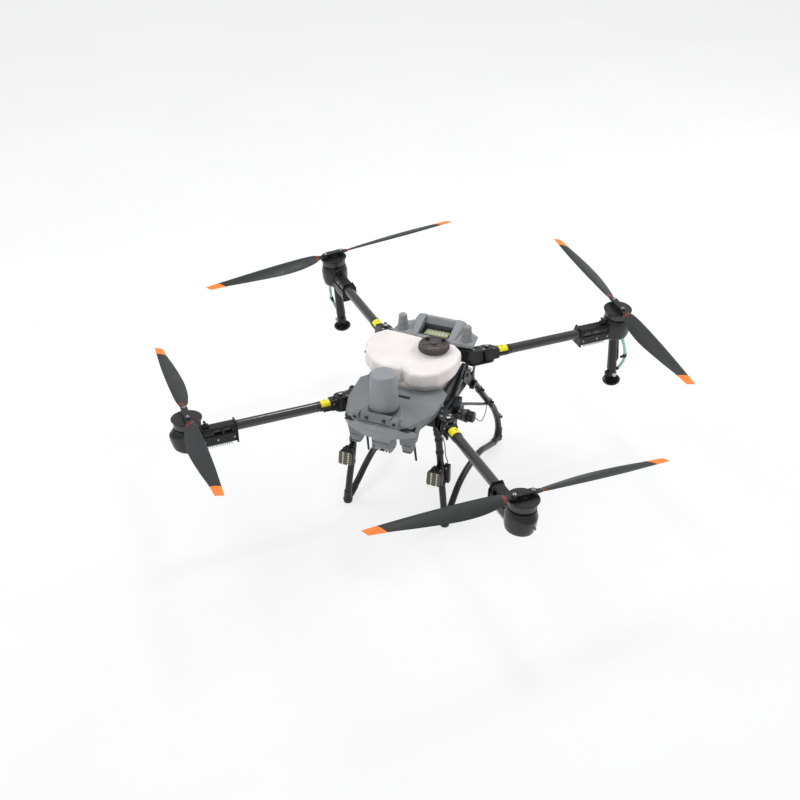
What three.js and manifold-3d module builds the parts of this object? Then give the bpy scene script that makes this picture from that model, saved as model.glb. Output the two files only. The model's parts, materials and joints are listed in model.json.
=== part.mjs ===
// Agricultural spray drone: a four-rotor aircraft with folding arms, a lift-out tank and two sprinklers.
// Millimetres, +Z up, nose towards -Y, the aircraft's left towards +X.
// The origin lies on the ground, midway between the four rotor axes.
// Both halves are mirror images, so each side piece is built once for the left and mirrored for the right.

import * as THREE from 'three';
import { ConvexGeometry } from 'three/addons/geometries/ConvexGeometry.js';
import { mergeVertices } from 'three/addons/utils/BufferGeometryUtils.js';
import Module from 'manifold-3d';

const wasm = await Module();
wasm.setup();

// ---------- driving dimensions ----------

const ROTOR_OFFSET = 692.5; // |x| and |y| of every rotor axis
const BLADE_RADIUS = 635; // rotor centre to blade tip
const BLADE_PIN = 40; // rotor centre to each blade pin
const BLADE_PLANE = 17; // blade height above the rotor disc
const BLADE_OPEN_ANGLE = 93.5; // blade line measured from the arm, as parked
const TUBE_RADIUS = 21; // arm tube
const LEG_RADIUS = 14.5; // landing gear tube
const SHELL_WALL = 4;
const TANK_WALL = 4;

// The two arm pairs, as they are on the left: hinge place |x| = |y| and its height, azimuth in degrees,
// lean of the fold axis and of the rotor axis towards the arm's own +Y side, height of the rotor disc,
// and the side that the arm folds to.
const ARMS = {
  front: { hinge: 235, height: 527, azimuth: -45, cant: 6, rotorTilt: 4, disc: 611, foldSide: 1 },
  rear: { hinge: 239, height: 606, azimuth: 45, cant: 10, rotorTilt: -4, disc: 690, foldSide: -1 },
};

// ---------- materials ----------

const paint = (color, roughness, metalness = 0) =>
  new THREE.MeshStandardMaterial({ color, roughness, metalness });

const MATERIAL = {
  frame: paint(0x17181a, 0.55, 0.2),
  rail: paint(0x9a9da0, 0.4, 0.6),
  shell: paint(0x7c858b, 0.5),
  dome: paint(0x8d9399, 0.45),
  darkPlastic: paint(0x1c1d1f, 0.5),
  carbon: paint(0x1f2022, 0.35),
  motor: paint(0x101113, 0.25, 0.3),
  blade: paint(0x2a2c2e, 0.45),
  tank: paint(0xe9e6e1, 0.35),
  cap: paint(0x4a4341, 0.5),
  lamp: paint(0xb9b6a6, 0.3),
  hose: paint(0x6fc9b4, 0.3),
  electronics: paint(0x5b6144, 0.6),
};

// ---------- solids ----------

function toSolid(shape) {
  if (!shape.isBufferGeometry) return shape;
  const bare = shape.clone();
  for (const name of Object.keys(bare.attributes)) {
    if (name !== 'position') bare.deleteAttribute(name);
  }
  const merged = mergeVertices(bare, 1e-4);
  return new wasm.Manifold(new wasm.Mesh({
    numProp: 3,
    vertProperties: Float32Array.from(merged.attributes.position.array),
    triVerts: Uint32Array.from(merged.index.array),
  }));
}

const fuse = (...shapes) => shapes.map(toSolid).reduce((whole, next) => whole.add(next));
const carve = (base, ...tools) =>
  tools.map(toSolid).reduce((whole, next) => whole.subtract(next), toSolid(base));

function toGeometry(shape) {
  const mesh = toSolid(shape).getMesh();
  const geometry = new THREE.BufferGeometry();
  geometry.setAttribute('position', new THREE.BufferAttribute(mesh.vertProperties, 3));
  geometry.setIndex(new THREE.BufferAttribute(mesh.triVerts, 1));
  geometry.computeVertexNormals();
  return geometry;
}

// ---------- shape builders ----------

const vec = (x, y, z) => new THREE.Vector3(x, y, z);
const radians = THREE.MathUtils.degToRad;

// A block between two opposite corners.
function block([x0, y0, z0], [x1, y1, z1]) {
  const geometry = new THREE.BoxGeometry(x1 - x0, y1 - y0, z1 - z0);
  return geometry.translate((x0 + x1) / 2, (y0 + y1) / 2, (z0 + z1) / 2);
}

// A cylinder or cone between two points.
function rod(from, to, radius, endRadius = radius, sides = 12) {
  const axis = to.clone().sub(from);
  const geometry = new THREE.CylinderGeometry(endRadius, radius, axis.length(), sides);
  const turn = new THREE.Quaternion().setFromUnitVectors(vec(0, 1, 0), axis.clone().normalize());
  return geometry.applyQuaternion(turn).translate(...from.clone().add(to).multiplyScalar(0.5).toArray());
}

const post = (x, y, z0, z1, radius, endRadius = radius, sides = 12) =>
  rod(vec(x, y, z0), vec(x, y, z1), radius, endRadius, sides);

// A body of revolution about Z from (radius, height) pairs that start and end on the axis.
function turned(profile, segments = 16) {
  const points = profile.map(([radius, height]) => new THREE.Vector2(radius, height));
  return new THREE.LatheGeometry(points, segments).rotateX(Math.PI / 2);
}

const hull = (points) => new ConvexGeometry(points.map(([x, y, z]) => vec(x, y, z)));

// A prism along Z from an outline in X and Y.
function prism(outline, z0, z1) {
  const shape = new THREE.Shape(outline.map(([x, y]) => new THREE.Vector2(x, y)));
  return new THREE.ExtrudeGeometry(shape, { depth: z1 - z0, bevelEnabled: false }).translate(0, 0, z0);
}

// A round bar that follows a smooth curve through the points.
function pipe(points, radius, steps, sides = 8) {
  const ring = Array.from({ length: sides }, (_, i) => {
    const angle = (2 * Math.PI * i) / sides;
    return new THREE.Vector2(radius * Math.cos(angle), radius * Math.sin(angle));
  });
  const curve = new THREE.CatmullRomCurve3(points.map((p) => vec(...p)), false, 'centripetal');
  const settings = { steps, bevelEnabled: false, extrudePath: curve };
  return new THREE.ExtrudeGeometry(new THREE.Shape(ring), settings);
}

// One level of a rounded body: points on a superellipse about (cx, cy).
function oval(cx, cy, z, rx, ry, power = 2.6, count = 14) {
  return Array.from({ length: count }, (_, i) => {
    const angle = (2 * Math.PI * (i + 0.5)) / count;
    const c = Math.cos(angle);
    const s = Math.sin(angle);
    const x = Math.sign(c) * Math.abs(c) ** (2 / power) * rx;
    const y = Math.sign(s) * Math.abs(s) ** (2 / power) * ry;
    return [cx + x, cy + y, z];
  });
}

const bothSides = (points) => points.flatMap(([x, y, z]) => [[x, y, z], [-x, y, z]]);

// ---------- frames ----------

// A matrix from an origin, an X direction and an approximate Z direction.
function frameAt(origin, xAxis, zAxis) {
  const x = xAxis.clone().normalize();
  const y = zAxis.clone().cross(x).normalize();
  const z = x.clone().cross(y);
  return new THREE.Matrix4().makeBasis(x, y, z).setPosition(origin);
}

const placed = (geometry, matrix) => geometry.clone().applyMatrix4(matrix);
const between = (from, to) => from.clone().invert().multiply(to);

// A direction straight up, leaning by an angle towards the +Y side of an arm.
function leaning(azimuth, angle) {
  const side = vec(-Math.sin(azimuth), Math.cos(azimuth), 0);
  return side.multiplyScalar(Math.sin(angle)).add(vec(0, 0, Math.cos(angle)));
}

// The fold frame: X along the arm, Z along the fold axis, origin at the hinge.
function foldFrame(arm) {
  const azimuth = radians(arm.azimuth);
  const along = vec(Math.cos(azimuth), Math.sin(azimuth), 0);
  const side = Math.sign(arm.azimuth);
  return frameAt(vec(arm.hinge, side * arm.hinge, arm.height), along, leaning(azimuth, radians(arm.cant)));
}

// The motor frame: X along the arm, Z along the rotor axis, origin at the centre of the rotor disc.
function motorFrame(arm) {
  const azimuth = radians(arm.azimuth);
  const along = vec(Math.cos(azimuth), Math.sin(azimuth), 0);
  const side = Math.sign(arm.azimuth);
  const centre = vec(ROTOR_OFFSET, side * ROTOR_OFFSET, arm.disc);
  return frameAt(centre, along, leaning(azimuth, radians(arm.rotorTilt)));
}

// ---------- arm hinge: fork on the frame, knuckle on the arm ----------

const FORK_IN = 25; // half height of the gap between the fork plates
const FORK_OUT = 32;
const FORK_WIDTH = 30;
const PIN_RADIUS = 9;
const WEB_START = -92;
const WEB_END = -48;

function fork() {
  const cheek = (z0, z1) => fuse(
    block([WEB_START, -FORK_WIDTH, z0], [0, FORK_WIDTH, z1]),
    post(0, 0, z0, z1, FORK_WIDTH, FORK_WIDTH, 16),
  );
  return fuse(
    cheek(FORK_IN, FORK_OUT),
    cheek(-FORK_OUT, -FORK_IN),
    block([WEB_START, -FORK_WIDTH + 4, -FORK_OUT], [WEB_END, FORK_WIDTH - 4, FORK_OUT]),
    post(0, 0, -FORK_OUT - 5, FORK_OUT + 5, PIN_RADIUS),
  );
}

const KNUCKLE_HALF = FORK_IN - 0.6;
const KNUCKLE_END = 50;
const BAND_END = 95;
const LATCH_PIVOT = [40, -32];

function armSolid(arm) {
  const reach = (ROTOR_OFFSET - arm.hinge) * Math.SQRT2;
  const tubeEnd = reach - 62;
  const pinHole = post(0, 0, -60, 60, PIN_RADIUS + 0.4);
  return carve(
    fuse(
      post(0, 0, -KNUCKLE_HALF, KNUCKLE_HALF, 27, 27, 16),
      hull([
        [0, -24, -KNUCKLE_HALF], [0, 24, -KNUCKLE_HALF], [0, -24, KNUCKLE_HALF], [0, 24, KNUCKLE_HALF],
        [KNUCKLE_END, -23, -23], [KNUCKLE_END, 23, -23], [KNUCKLE_END, -23, 23], [KNUCKLE_END, 23, 23],
      ]),
      rod(vec(KNUCKLE_END - 5, 0, 0), vec(BAND_END, 0, 0), TUBE_RADIUS + 1.8),
      rod(vec(BAND_END - 5, 0, 0), vec(tubeEnd, 0, 0), TUBE_RADIUS),
      post(...LATCH_PIVOT, -16, 16, 4, 4, 8),
      block([34, -32, -16], [46, -20, -13]),
      block([34, -32, 13], [46, -20, 16]),
    ),
    pinHole,
  );
}

// A cam lever that locks the arm open.
function latchSolid() {
  const [x, y] = LATCH_PIVOT;
  return carve(
    fuse(
      post(x, y, -12.5, 12.5, 7.5),
      block([x, y - 10, -10], [x + 52, y - 3.5, 10]),
      block([x + 46, y - 14, -10], [x + 52, y - 6, 10]),
    ),
    post(x, y, -20, 20, 4.6, 4.6, 8),
  );
}

// ---------- motor pod with its speed controller ----------

const BELL_BOTTOM = -37.5;
const POD_TOP = -38.2;
const POD_BOTTOM = -138;

function podSolid(arm) {
  const ring = (z, radius, nose) => Array.from({ length: 12 }, (_, i) => {
    const angle = (2 * Math.PI * (i + 0.5)) / 12;
    const stretch = Math.max(0, Math.cos(angle)) ** 2 * (nose - radius);
    return [(radius + stretch) * Math.cos(angle), radius * Math.sin(angle), z];
  });
  const reach = (ROTOR_OFFSET - arm.hinge) * Math.SQRT2;
  const tubeHole = placed(
    rod(vec(0, 0, 0), vec(reach - 60, 0, 0), TUBE_RADIUS + 0.4),
    between(motorFrame(arm), foldFrame(arm)),
  );
  const windows = [-33, 33].flatMap((y) => [-158, -112].map((x) =>
    block([x - 17, y - 7, -112], [x + 17, y + 7, -84])));
  const fins = Array.from({ length: 6 }, (_, i) => {
    const x = -168 + 18 * i;
    return block([x, -22, -147], [x + 6, 22, -126]);
  });
  return carve(
    fuse(
      hull([
        ...ring(POD_TOP, 56, 58), ...ring(-66, 61, 77), ...ring(-104, 60, 70), ...ring(POD_BOTTOM, 48, 50),
      ]),
      hull([
        [-186, -29, -132], [-186, 29, -132], [-186, -27, -56], [-186, 27, -56],
        [-30, -32, -136], [-30, 32, -136], [-30, -30, -56], [-30, 30, -56],
      ]),
      block([-192, -34, -140], [-184, 34, -48]),
      ...fins,
    ),
    ...windows,
    tubeHole,
    post(0, 0, -64, -30, 8.5, 8.5, 16),
  );
}

// ---------- rotor: motor bell, shaft and blade clamp ----------

function rotorSolid() {
  const clampPlate = (z0, z1) => hull([z0, z1].flatMap((z) => [
    ...oval(-BLADE_PIN, 0, z, 14, 14, 2, 12),
    ...oval(BLADE_PIN, 0, z, 14, 14, 2, 12),
  ]));
  return fuse(
    turned([
      [0, -60], [7, -60], [7, BELL_BOTTOM], [54, BELL_BOTTOM], [54, -4], [62, -2], [62, 3], [0, 3],
    ], 16),
    post(0, 0, 2, 26, 15, 15, 8),
    clampPlate(8, 12),
    clampPlate(22, 26),
    post(-BLADE_PIN, 0, 2, 28, 5, 5, 6),
    post(BLADE_PIN, 0, 2, 28, 5, 5, 6),
  );
}

// ---------- blade ----------

// Chord, leading edge offset and pitch along the blade; radius from the rotor centre.
const BLADE_STATIONS = [
  { radius: 64, chord: 26, lead: 13, pitch: 12 },
  { radius: 96, chord: 48, lead: 22, pitch: 20 },
  { radius: 194, chord: 70, lead: 27, pitch: 20 },
  { radius: 290, chord: 73, lead: 28, pitch: 16 },
  { radius: 437, chord: 60, lead: 26, pitch: 11 },
  { radius: 543, chord: 43, lead: 22, pitch: 8.5 },
  { radius: 635, chord: 33, lead: 18, pitch: 7 },
];
const TIP_RAKE = 14; // how much shorter the trailing corner of the tip is

function bladeStation(radius) {
  const after = BLADE_STATIONS.findIndex((s) => s.radius >= radius);
  const b = BLADE_STATIONS[Math.max(after, 1)];
  const a = BLADE_STATIONS[Math.max(after, 1) - 1];
  const t = (radius - a.radius) / (b.radius - a.radius);
  const mix = (key) => a[key] + (b[key] - a[key]) * t;
  return { chord: mix('chord'), lead: mix('lead'), pitch: radians(mix('pitch')) };
}

// The blade in its own frame: pin on the Z axis, span along +X, leading edge towards -Y.
function bladeSolid() {
  const start = BLADE_STATIONS[0].radius;
  const rows = 8;
  const wing = new THREE.CylinderGeometry(1, 1, 1, 8, rows).rotateZ(-Math.PI / 2).translate(0.5, 0, 0);
  const position = wing.attributes.position;
  for (let i = 0; i < position.count; i += 1) {
    const span = position.getX(i);
    const radius = start + (BLADE_RADIUS - start) * span;
    const { chord, lead, pitch } = bladeStation(Math.min(radius, BLADE_RADIUS - 0.01));
    const across = lead + (position.getZ(i) - 1) * chord / 2;
    const thickness = 5 - 3 * span;
    const up = position.getY(i) * thickness;
    const rake = TIP_RAKE * span ** 8 * ((lead - across) / chord);
    const y = -(across * Math.cos(pitch) - up * Math.sin(pitch));
    const z = across * Math.sin(pitch) + up * Math.cos(pitch);
    position.setXYZ(i, radius - BLADE_PIN - rake, y, BLADE_PLANE + z);
  }
  return carve(
    fuse(
      post(0, 0, BLADE_PLANE - 4.6, BLADE_PLANE + 4.6, 13, 13, 12),
      block([0, -9, BLADE_PLANE - 4.2], [start - BLADE_PIN + 6, 9, BLADE_PLANE + 4.2]),
      wing,
    ),
    post(0, 0, 0, 40, 6.2, 6.2, 8),
  );
}

// ---------- sprinkler under each rear motor ----------

const COLUMN_LENGTH = 262;

// The sprinkler frame inside the motor frame: Z up along the column, origin at the pod's underside.
function sprinklerFrame() {
  const top = vec(0, 5, POD_BOTTOM - 0.5);
  const bottom = vec(38, 22, -404);
  const axis = top.clone().sub(bottom).normalize();
  const across = vec(1, 0, 0).addScaledVector(axis, -axis.x).normalize();
  return frameAt(top, across, axis);
}

function columnSolid() {
  const level = (z, radius) => Array.from({ length: 8 }, (_, i) => {
    const angle = (2 * Math.PI * (i + 0.5)) / 8;
    return [radius * Math.cos(angle), radius * Math.sin(angle), z];
  });
  const podBelly = placed(block([-120, -120, POD_BOTTOM - 0.4], [120, 120, 0]), sprinklerFrame().invert());
  return carve(
    fuse(
      hull([...level(10, 27), ...level(-16, 27), ...level(-26, 20)]),
      hull([...level(-20, 19), ...level(-110, 20.5), ...level(-200, 22.5)]),
      hull([...level(-198, 16), ...level(-232, 23), ...level(-248, 16)]),
      post(0, 0, -COLUMN_LENGTH + 1, -240, 9, 9, 12),
      block([-32, -3, -230], [-18, 3, -205]),
      block([18, -6, -222], [34, 6, -206]),
    ),
    podBelly,
  );
}

function sprayDiscSolid() {
  const low = -COLUMN_LENGTH;
  return turned([
    [0, low - 26], [12, low - 26], [30, low - 20], [40, low - 10], [41, low - 6], [38, low - 4],
    [24, low - 9], [12, low - 12], [8, low - 0.4], [0, low - 0.4],
  ], 16);
}

// The feed hose, from the pod's underside to the inlet low on the column, in the sprinkler frame.
const HOSE_ROUTE = [
  [34, -24, -14], [38, -26, -40], [47, -25, -80], [54, -20, -125], [54, -11, -165], [46, -4, -192],
  [34.6, 0, -212],
];

function hoseSolid() {
  const podBelly = placed(block([-120, -120, POD_BOTTOM - 0.4], [120, 120, 0]), sprinklerFrame().invert());
  const inlet = block([18, -6.3, -222.3], [34.3, 6.3, -205.7]);
  return carve(pipe([[33, -22, 8], ...HOSE_ROUTE], 5.5, 16), podBelly, inlet);
}

// ---------- airframe ----------

function mirroredForks(arm) {
  const left = toSolid(fork()).transform(foldFrame(arm).elements);
  return left.add(left.mirror([1, 0, 0]));
}

function frontFrameSolid() {
  return fuse(
    mirroredForks(ARMS.front),
    block([-178, -226, 497], [178, -178, 553]),
    block([-120, -292, 540], [120, -200, 553]),
    ...[-1, 1].flatMap((side) => [
      block([side * 185 - 15, -226, 478], [side * 185 + 15, -186, 500]),
      block([side * 104 - 8, -300, 470], [side * 104 + 8, -250, 545]),
    ]),
  );
}

function rearFrameSolid() {
  return fuse(
    mirroredForks(ARMS.rear),
    block([-176, 178, 578], [176, 212, 634]),
    ...[-1, 1].map((side) => block([side * 189 - 17, 150, 562], [side * 189 + 17, 206, 590])),
  );
}

// A bent flat bar that ties the front and rear frames together and carries the pump.
function railSolid() {
  const outline = [
    [-147, 500], [-20, 500], [144, 584], [144, 604], [122, 604], [-32, 526], [-147, 526],
  ];
  const bar = prism(outline, 0, 12).applyMatrix4(frameAt(vec(178, 0, 0), vec(0, 1, 0), vec(1, 0, 0)));
  return fuse(bar, block([176, 122, 566], [192, 149.7, 600]), block([178, -60, 462], [190, -16, 520]));
}

// ---------- front cover ----------

function frontShellSolid() {
  const outer = (t) => fuse(
    hull(bothSides([
      [158 - t, -366 + t, 557], [122 - t, -398 + t, 588 - t],
      [44 - t, -434 + t, 562], [44 - t, -430 + t, 596 - t],
      [186 - t, -214, 566 - t], [186 - t, -214, 557],
      [176 - t, -100 - t, 557], [188 - t, -96 - t, 592 - t],
      [70, -404 + t, 606 - t], [72, -270, 612 - t], [110, -120 - t, 596 - t],
    ])),
    hull([
      ...oval(0, -333, 603.7 - t, 70 - t, 70 - t, 2, 16), ...oval(0, -333, 585, 84 - t, 84 - t, 2, 16),
      [-92 + t, -420 + t, 600 - t], [92 - t, -420 + t, 600 - t], [0, -160 - t, 590],
    ]),
  );
  const inner = outer(SHELL_WALL).translate([0, 0, -0.5]);
  const below = block([-150, -390, 540], [150, -104, 560]);
  const forkSlots = [-1, 1].map((side) => block([side * 194 - 76, -262, 480], [side * 194 + 76, -104, 562]));
  return carve(
    outer(0), inner, below, ...forkSlots,
    post(0, -333, 560, 640, 40, 40, 16),
    post(0, -333, 603.7, 640, 63, 63, 20),
    block([-102, -460, 594.4], [102, -397, 660]),
    tankForm(-5),
    ...[-1, 1].map((side) => block([side * 116 - 22, -412, 573], [side * 116 + 22, -388, 579])),
  );
}

function lowerShellSolid() {
  const outer = (t) => fuse(
    hull(bothSides([
      [156 - t, -368 + t, 556.4], [46 - t, -432 + t, 556.4], [150 - t, -302 - t, 556.4],
      [146 - t, -366 + t, 512], [44 - t, -424 + t, 520], [142 - t, -302 - t, 512],
      [124 - t, -352 + t, 458 + t], [50 - t, -372 + t, 456 + t], [124 - t, -302 - t, 458 + t],
    ])),
    ...[-1, 1].map((side) => hull([
      ...oval(side * 104, -340, 462, 30 - t, 36 - t, 4, 12),
      ...oval(side * 104, -346, 428 + t, 20 - t, 24 - t, 4, 12),
    ])),
  );
  const ears = [-1, 1].map((side) => fuse(
    block([side * 41 - 3, -348, 420], [side * 41 + 3, -312, 465]),
    rod(vec(side * 38, -330, 430), vec(side * 44, -330, 430), 13),
  ));
  return carve(
    fuse(carve(outer(0), outer(SHELL_WALL).translate([0, 0, 3])), ...ears),
    rod(vec(-60, -330, 430), vec(60, -330, 430), 5.4, 5.4, 12),
  );
}

// ---------- sensors on the nose ----------

function radarBaseSolid() {
  return fuse(
    turned([[0, 604], [62, 604], [62, 622], [60, 626], [0, 626]], 20).translate(0, -333, 0),
    turned([[0, 560], [37, 560], [39, 604.5], [0, 604.5]], 16).translate(0, -333, 0),
    block([-26, -339, 620], [26, -327, 742]),
    block([-6, -353, 620], [6, -313, 730]),
  );
}

function radarDomeSolid() {
  const wall = 3;
  return turned([
    [60 - wall, 626.4], [60, 626.4], [60, 634], [54, 762], [51, 771], [44, 776], [0, 776],
    [0, 776 - wall], [43, 776 - wall], [51 - wall, 764], [60 - wall, 634], [60 - wall, 626.4],
  ], 20).translate(0, -333, 0);
}

function visionBarSolid() {
  const pods = [-1, 1].map((side) => fuse(
    rod(vec(side * 82, -398, 611), vec(side * 82, -436, 611), 16.5),
    rod(vec(side * 82, -430, 611), vec(side * 82, -441, 611), 11, 10),
  ));
  const lenses = [-1, 1].map((side) => rod(vec(side * 37, -420, 611), vec(side * 37, -431, 611), 6, 6, 16));
  return fuse(
    hull(bothSides([
      [70, -425, 597], [70, -398, 595], [66, -419, 629], [66, -402, 630],
    ])),
    ...pods,
    ...lenses,
  );
}

function chinCameraSolid() {
  return fuse(
    rod(vec(-37.4, -330, 430), vec(37.4, -330, 430), 19, 19, 16),
    rod(vec(-43, -330, 430), vec(43, -330, 430), 5, 5, 12),
    rod(vec(0, -340, 430), vec(0, -354, 430), 12, 11),
    ...[-2, -1, 0, 1, 2].map((i) => block([i * 13 - 2, -340, 409], [i * 13 + 2, -320, 425])),
  );
}

function antennaRodSolid() {
  return fuse(
    post(104, -273, 446, 469.7, 7, 8.5),
    rod(vec(104, -272, 450), vec(107, -247, 329), 5.5, 4.5, 12),
  );
}

// ---------- tank ----------

const TANK_NECK = [64, 56];
const NECK_TOP = 690;
const LOBES = [ // the two bulges of the upper half: centre, then half width and half depth
  [-104, 0, 118, 150],
  [76, -8, 112, 150],
];

// The tank's outer form, drawn in by t all round.
function tankForm(t) {
  const lobe = ([x, y, halfX, halfY]) => {
    const level = (z, inX, inY) => oval(x, y, z, halfX - inX - t, halfY - inY - t);
    return hull([
      ...level(604 + t, 40, 14), ...level(634, 0, 0), ...level(664, 0, 0), ...level(680 - t, 10, 10),
      ...level(686 - t, 26, 26),
    ]);
  };
  const base = hull([
    ...oval(0, 5, 454 + t, 120 - t, 112 - t, 3.4, 12),
    ...oval(0, 5, 480 + t, 148 - t, 138 - t, 3.4, 12),
    ...oval(0, 5, 620 - t, 156 - t, 146 - t, 3.4, 12),
  ]);
  return fuse(...LOBES.map(lobe), base);
}

function tankSolid() {
  const [x, y] = TANK_NECK;
  return carve(
    fuse(tankForm(0), post(x, y, 660, NECK_TOP, 66, 60, 20)),
    tankForm(TANK_WALL),
    post(x, y, 640, NECK_TOP + 20, 50, 50, 20),
  );
}

function strainerSolid() {
  const wall = 2.5;
  const low = 652;
  return turned([
    [0, low], [38, low], [48, NECK_TOP], [57, NECK_TOP + 0.4], [57, NECK_TOP + 3], [48 - wall, NECK_TOP + 3],
    [38 - wall, low + wall], [0, low + wall],
  ], 20).translate(...TANK_NECK, 0);
}

function tankCapSolid() {
  const low = NECK_TOP + 3.4;
  const [x, y] = TANK_NECK;
  const ribs = Array.from({ length: 12 }, (_, i) => {
    const angle = (2 * Math.PI * i) / 12;
    return block([62, -3, low + 2], [66, 3, low + 20]).rotateZ(angle).translate(x, y, 0);
  });
  return fuse(
    turned([
      [0, low], [63, low], [64, low + 20], [60, low + 25], [52, low + 25], [50, low + 22], [0, low + 22],
    ], 20).translate(x, y, 0),
    post(x, y, low + 20, low + 29, 15, 13, 16),
    block([x - 22, y - 50, low + 20], [x + 22, y - 36, low + 27]),
    block([x - 48, y + 20, low + 20], [x - 34, y + 34, low + 30]),
    block([x + 22, y + 28, low + 20], [x + 32, y + 46, low + 32]),
    ...ribs,
  );
}

// ---------- rear cover and battery bay ----------

const BAY = { x: 69, front: 214, back: 303 }; // the opening that the battery drops through
const ANTENNA_SEAT = [148, 236];

function rearShellSolid() {
  const middle = hull(bothSides([
    [70, 200, 640], [70, 208, 652], [70, 312, 680], [70, 344, 668], [70, 344, 606], [70, 305, 606],
  ]));
  const rib = (side) => hull([
    [side * 66, 196, 640], [side * 66, 200, 656], [side * 66, 306, 693], [side * 66, 330, 693],
    [side * 66, 350, 672], [side * 66, 350, 604], [side * 66, 305, 604],
    [side * 104, 196, 640], [side * 104, 202, 654], [side * 104, 306, 690],
    [side * 104, 330, 690], [side * 112, 348, 666], [side * 112, 348, 604], [side * 104, 305, 604],
  ]);
  const wing = (side) => hull([
    [side * 90, 190, 650], [side * 90, 196, 657], [side * 90, 330, 668], [side * 90, 340, 640],
    [side * 188, 194, 650], [side * 184, 198, 656], [side * 176, 284, 657], [side * 180, 290, 650],
    [side * 150, 320, 634],
  ]);
  const bay = block([-BAY.x, BAY.front, 590], [BAY.x, BAY.back, 720]);
  const frameRoom = block([-200, 170, 560], [200, 213, 640]);
  const seats = [-1, 1].map((side) => post(side * ANTENNA_SEAT[0], ANTENNA_SEAT[1], 657.3, 700, 25.6));
  const skin = carve(fuse(middle, rib(1), rib(-1), wing(1), wing(-1)), bay, frameRoom, ...seats);
  return carve(skin, carve(rearShellHollow(), rearShellWalls()));
}

// The space under the skin, open below.
function rearShellHollow() {
  return fuse(
    block([-100, 206, 590], [100, 302, 646]),
    hull(bothSides([
      [100, 217, 640], [100, 217, 648], [100, 306, 682], [100, 328, 682], [100, 342, 664], [100, 342, 590],
    ])),
  );
}

// What stays solid inside that space: a wall round the bay and the thicker cross bar behind it.
function rearShellWalls() {
  const roof = hull(bothSides([
    [69.5, 300, 590], [69.5, 300, 682], [69.5, 312, 674], [69.5, 338, 664], [69.5, 338, 590],
  ]));
  return carve(
    fuse(
      block([-BAY.x - 3, BAY.front - 0.8, 650], [BAY.x + 3, BAY.back + 3, 700]),
      block([-BAY.x - 0.5, 296, 671], [BAY.x + 0.5, 350, 700]),
    ),
    block([-BAY.x, 200, 600], [BAY.x, BAY.back, 720]),
    roof,
  );
}

function rearAntennaSolid() {
  return turned([
    [0, 657.6], [25, 657.6], [25, 664], [21, 674], [21, 696], [18.5, 698], [18.5, 716], [14, 723], [0, 724],
  ], 12).translate(...ANTENNA_SEAT, 0);
}

// An open box between the frame and the cover, with the power connector at its foot.
function batteryTraySolid() {
  return fuse(
    carve(
      block([-68, 213, 430], [68, 302, 589]),
      block([-64, 217, 434], [64, 298, 600]),
    ),
    block([-34, 240, 433], [34, 276, 452]),
    block([-24, 252, 450], [-12, 264, 462]),
    block([12, 252, 450], [24, 264, 462]),
  );
}

function flightControllerSolid() {
  return fuse(
    block([-56, -285, 553.4], [56, -215, 578]),
    block([-44, -291, 556], [-20, -284, 570]),
    block([-10, -291, 556], [14, -284, 570]),
    block([22, -291, 556], [44, -284, 570]),
  );
}

// ---------- landing gear ----------

const FOOT = { front: [226, -212], rear: [230, 496] };

function frontLegSolid() {
  const [x, y] = FOOT.front;
  return fuse(
    pipe([
      [185, -206, 472], [193, -205, 380], [201, -204, 265], [216, -210, 128], [x - 1, y, 40],
    ], LEG_RADIUS, 8),
    rod(vec(x - 2, y, 58), vec(x, y, 14), 17, 18),
    post(x, y, 0, 18, 19, 21),
    rod(vec(x, y, 17), vec(x - 2, y + 34, 25), 15.5, 16.5),
    post(185.5, -206, 462, 477.6, 19),
  );
}

const SKID_ROUTE = [
  [224, -175.6, 25.6], [221, -108, 50], [219, -30, 82], [220, 60, 99], [222, 160, 98], [224, 250, 86],
  [227, 340, 54], [229, 420, 24], [230, 460.6, 18],
];

const skidSolid = () => pipe(SKID_ROUTE, LEG_RADIUS, 14);

function rearLegSolid() {
  const [x, y] = FOOT.rear;
  return fuse(
    pipe([
      [x, y + 4, 34], [x - 2, 486, 110], [x - 7, 440, 196], [x - 13, 384, 266],
      [x - 20, 318, 336], [x - 28, 244, 424], [190, 190, 498], [188, 178, 555],
    ], LEG_RADIUS, 12),
    rod(vec(x, y, 18), vec(x, y + 6, 60), 18.5, 16.5),
    post(x, y, 0, 19, 19, 21),
    rod(vec(x, y - 33, 17.5), vec(x, y, 17), 16.5, 15.5),
    post(188.5, 179, 544, 561.6, 19),
  );
}

// A work lamp on a tilting bracket, with an eye around each side of its pivot pin on the leg clamp.
const LAMP_PIVOT = [199, -232, 300];

function lampClampSolid() {
  const [x, y, z] = LAMP_PIVOT;
  return fuse(
    block([x - 12, y - 4, z - 12], [x + 12, y + 46, z + 12]),
    rod(vec(x - 24, y, z), vec(x + 24, y, z), 5, 5, 14),
  );
}

function lampSolid() {
  const [x, y, z] = LAMP_PIVOT;
  const head = hull([
    [x - 24, y - 12, z + 20], [x + 24, y - 12, z + 20], [x - 28, y - 34, z + 12], [x + 28, y - 34, z + 12],
    [x - 28, y - 46, z - 52], [x + 28, y - 46, z - 52], [x - 24, y - 20, z - 54], [x + 24, y - 20, z - 54],
  ]);
  const ears = [-1, 1].map((side) => fuse(
    rod(vec(x + side * 15, y, z), vec(x + side * 21, y, z), 11),
    block([x + side * 18 - 3, y - 16, z - 11], [x + side * 18 + 3, y, z + 11]),
  ));
  return carve(fuse(head, ...ears), rod(vec(x - 40, y, z), vec(x + 40, y, z), 5.4, 5.4, 14));
}

// ---------- pump on each rail ----------

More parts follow.
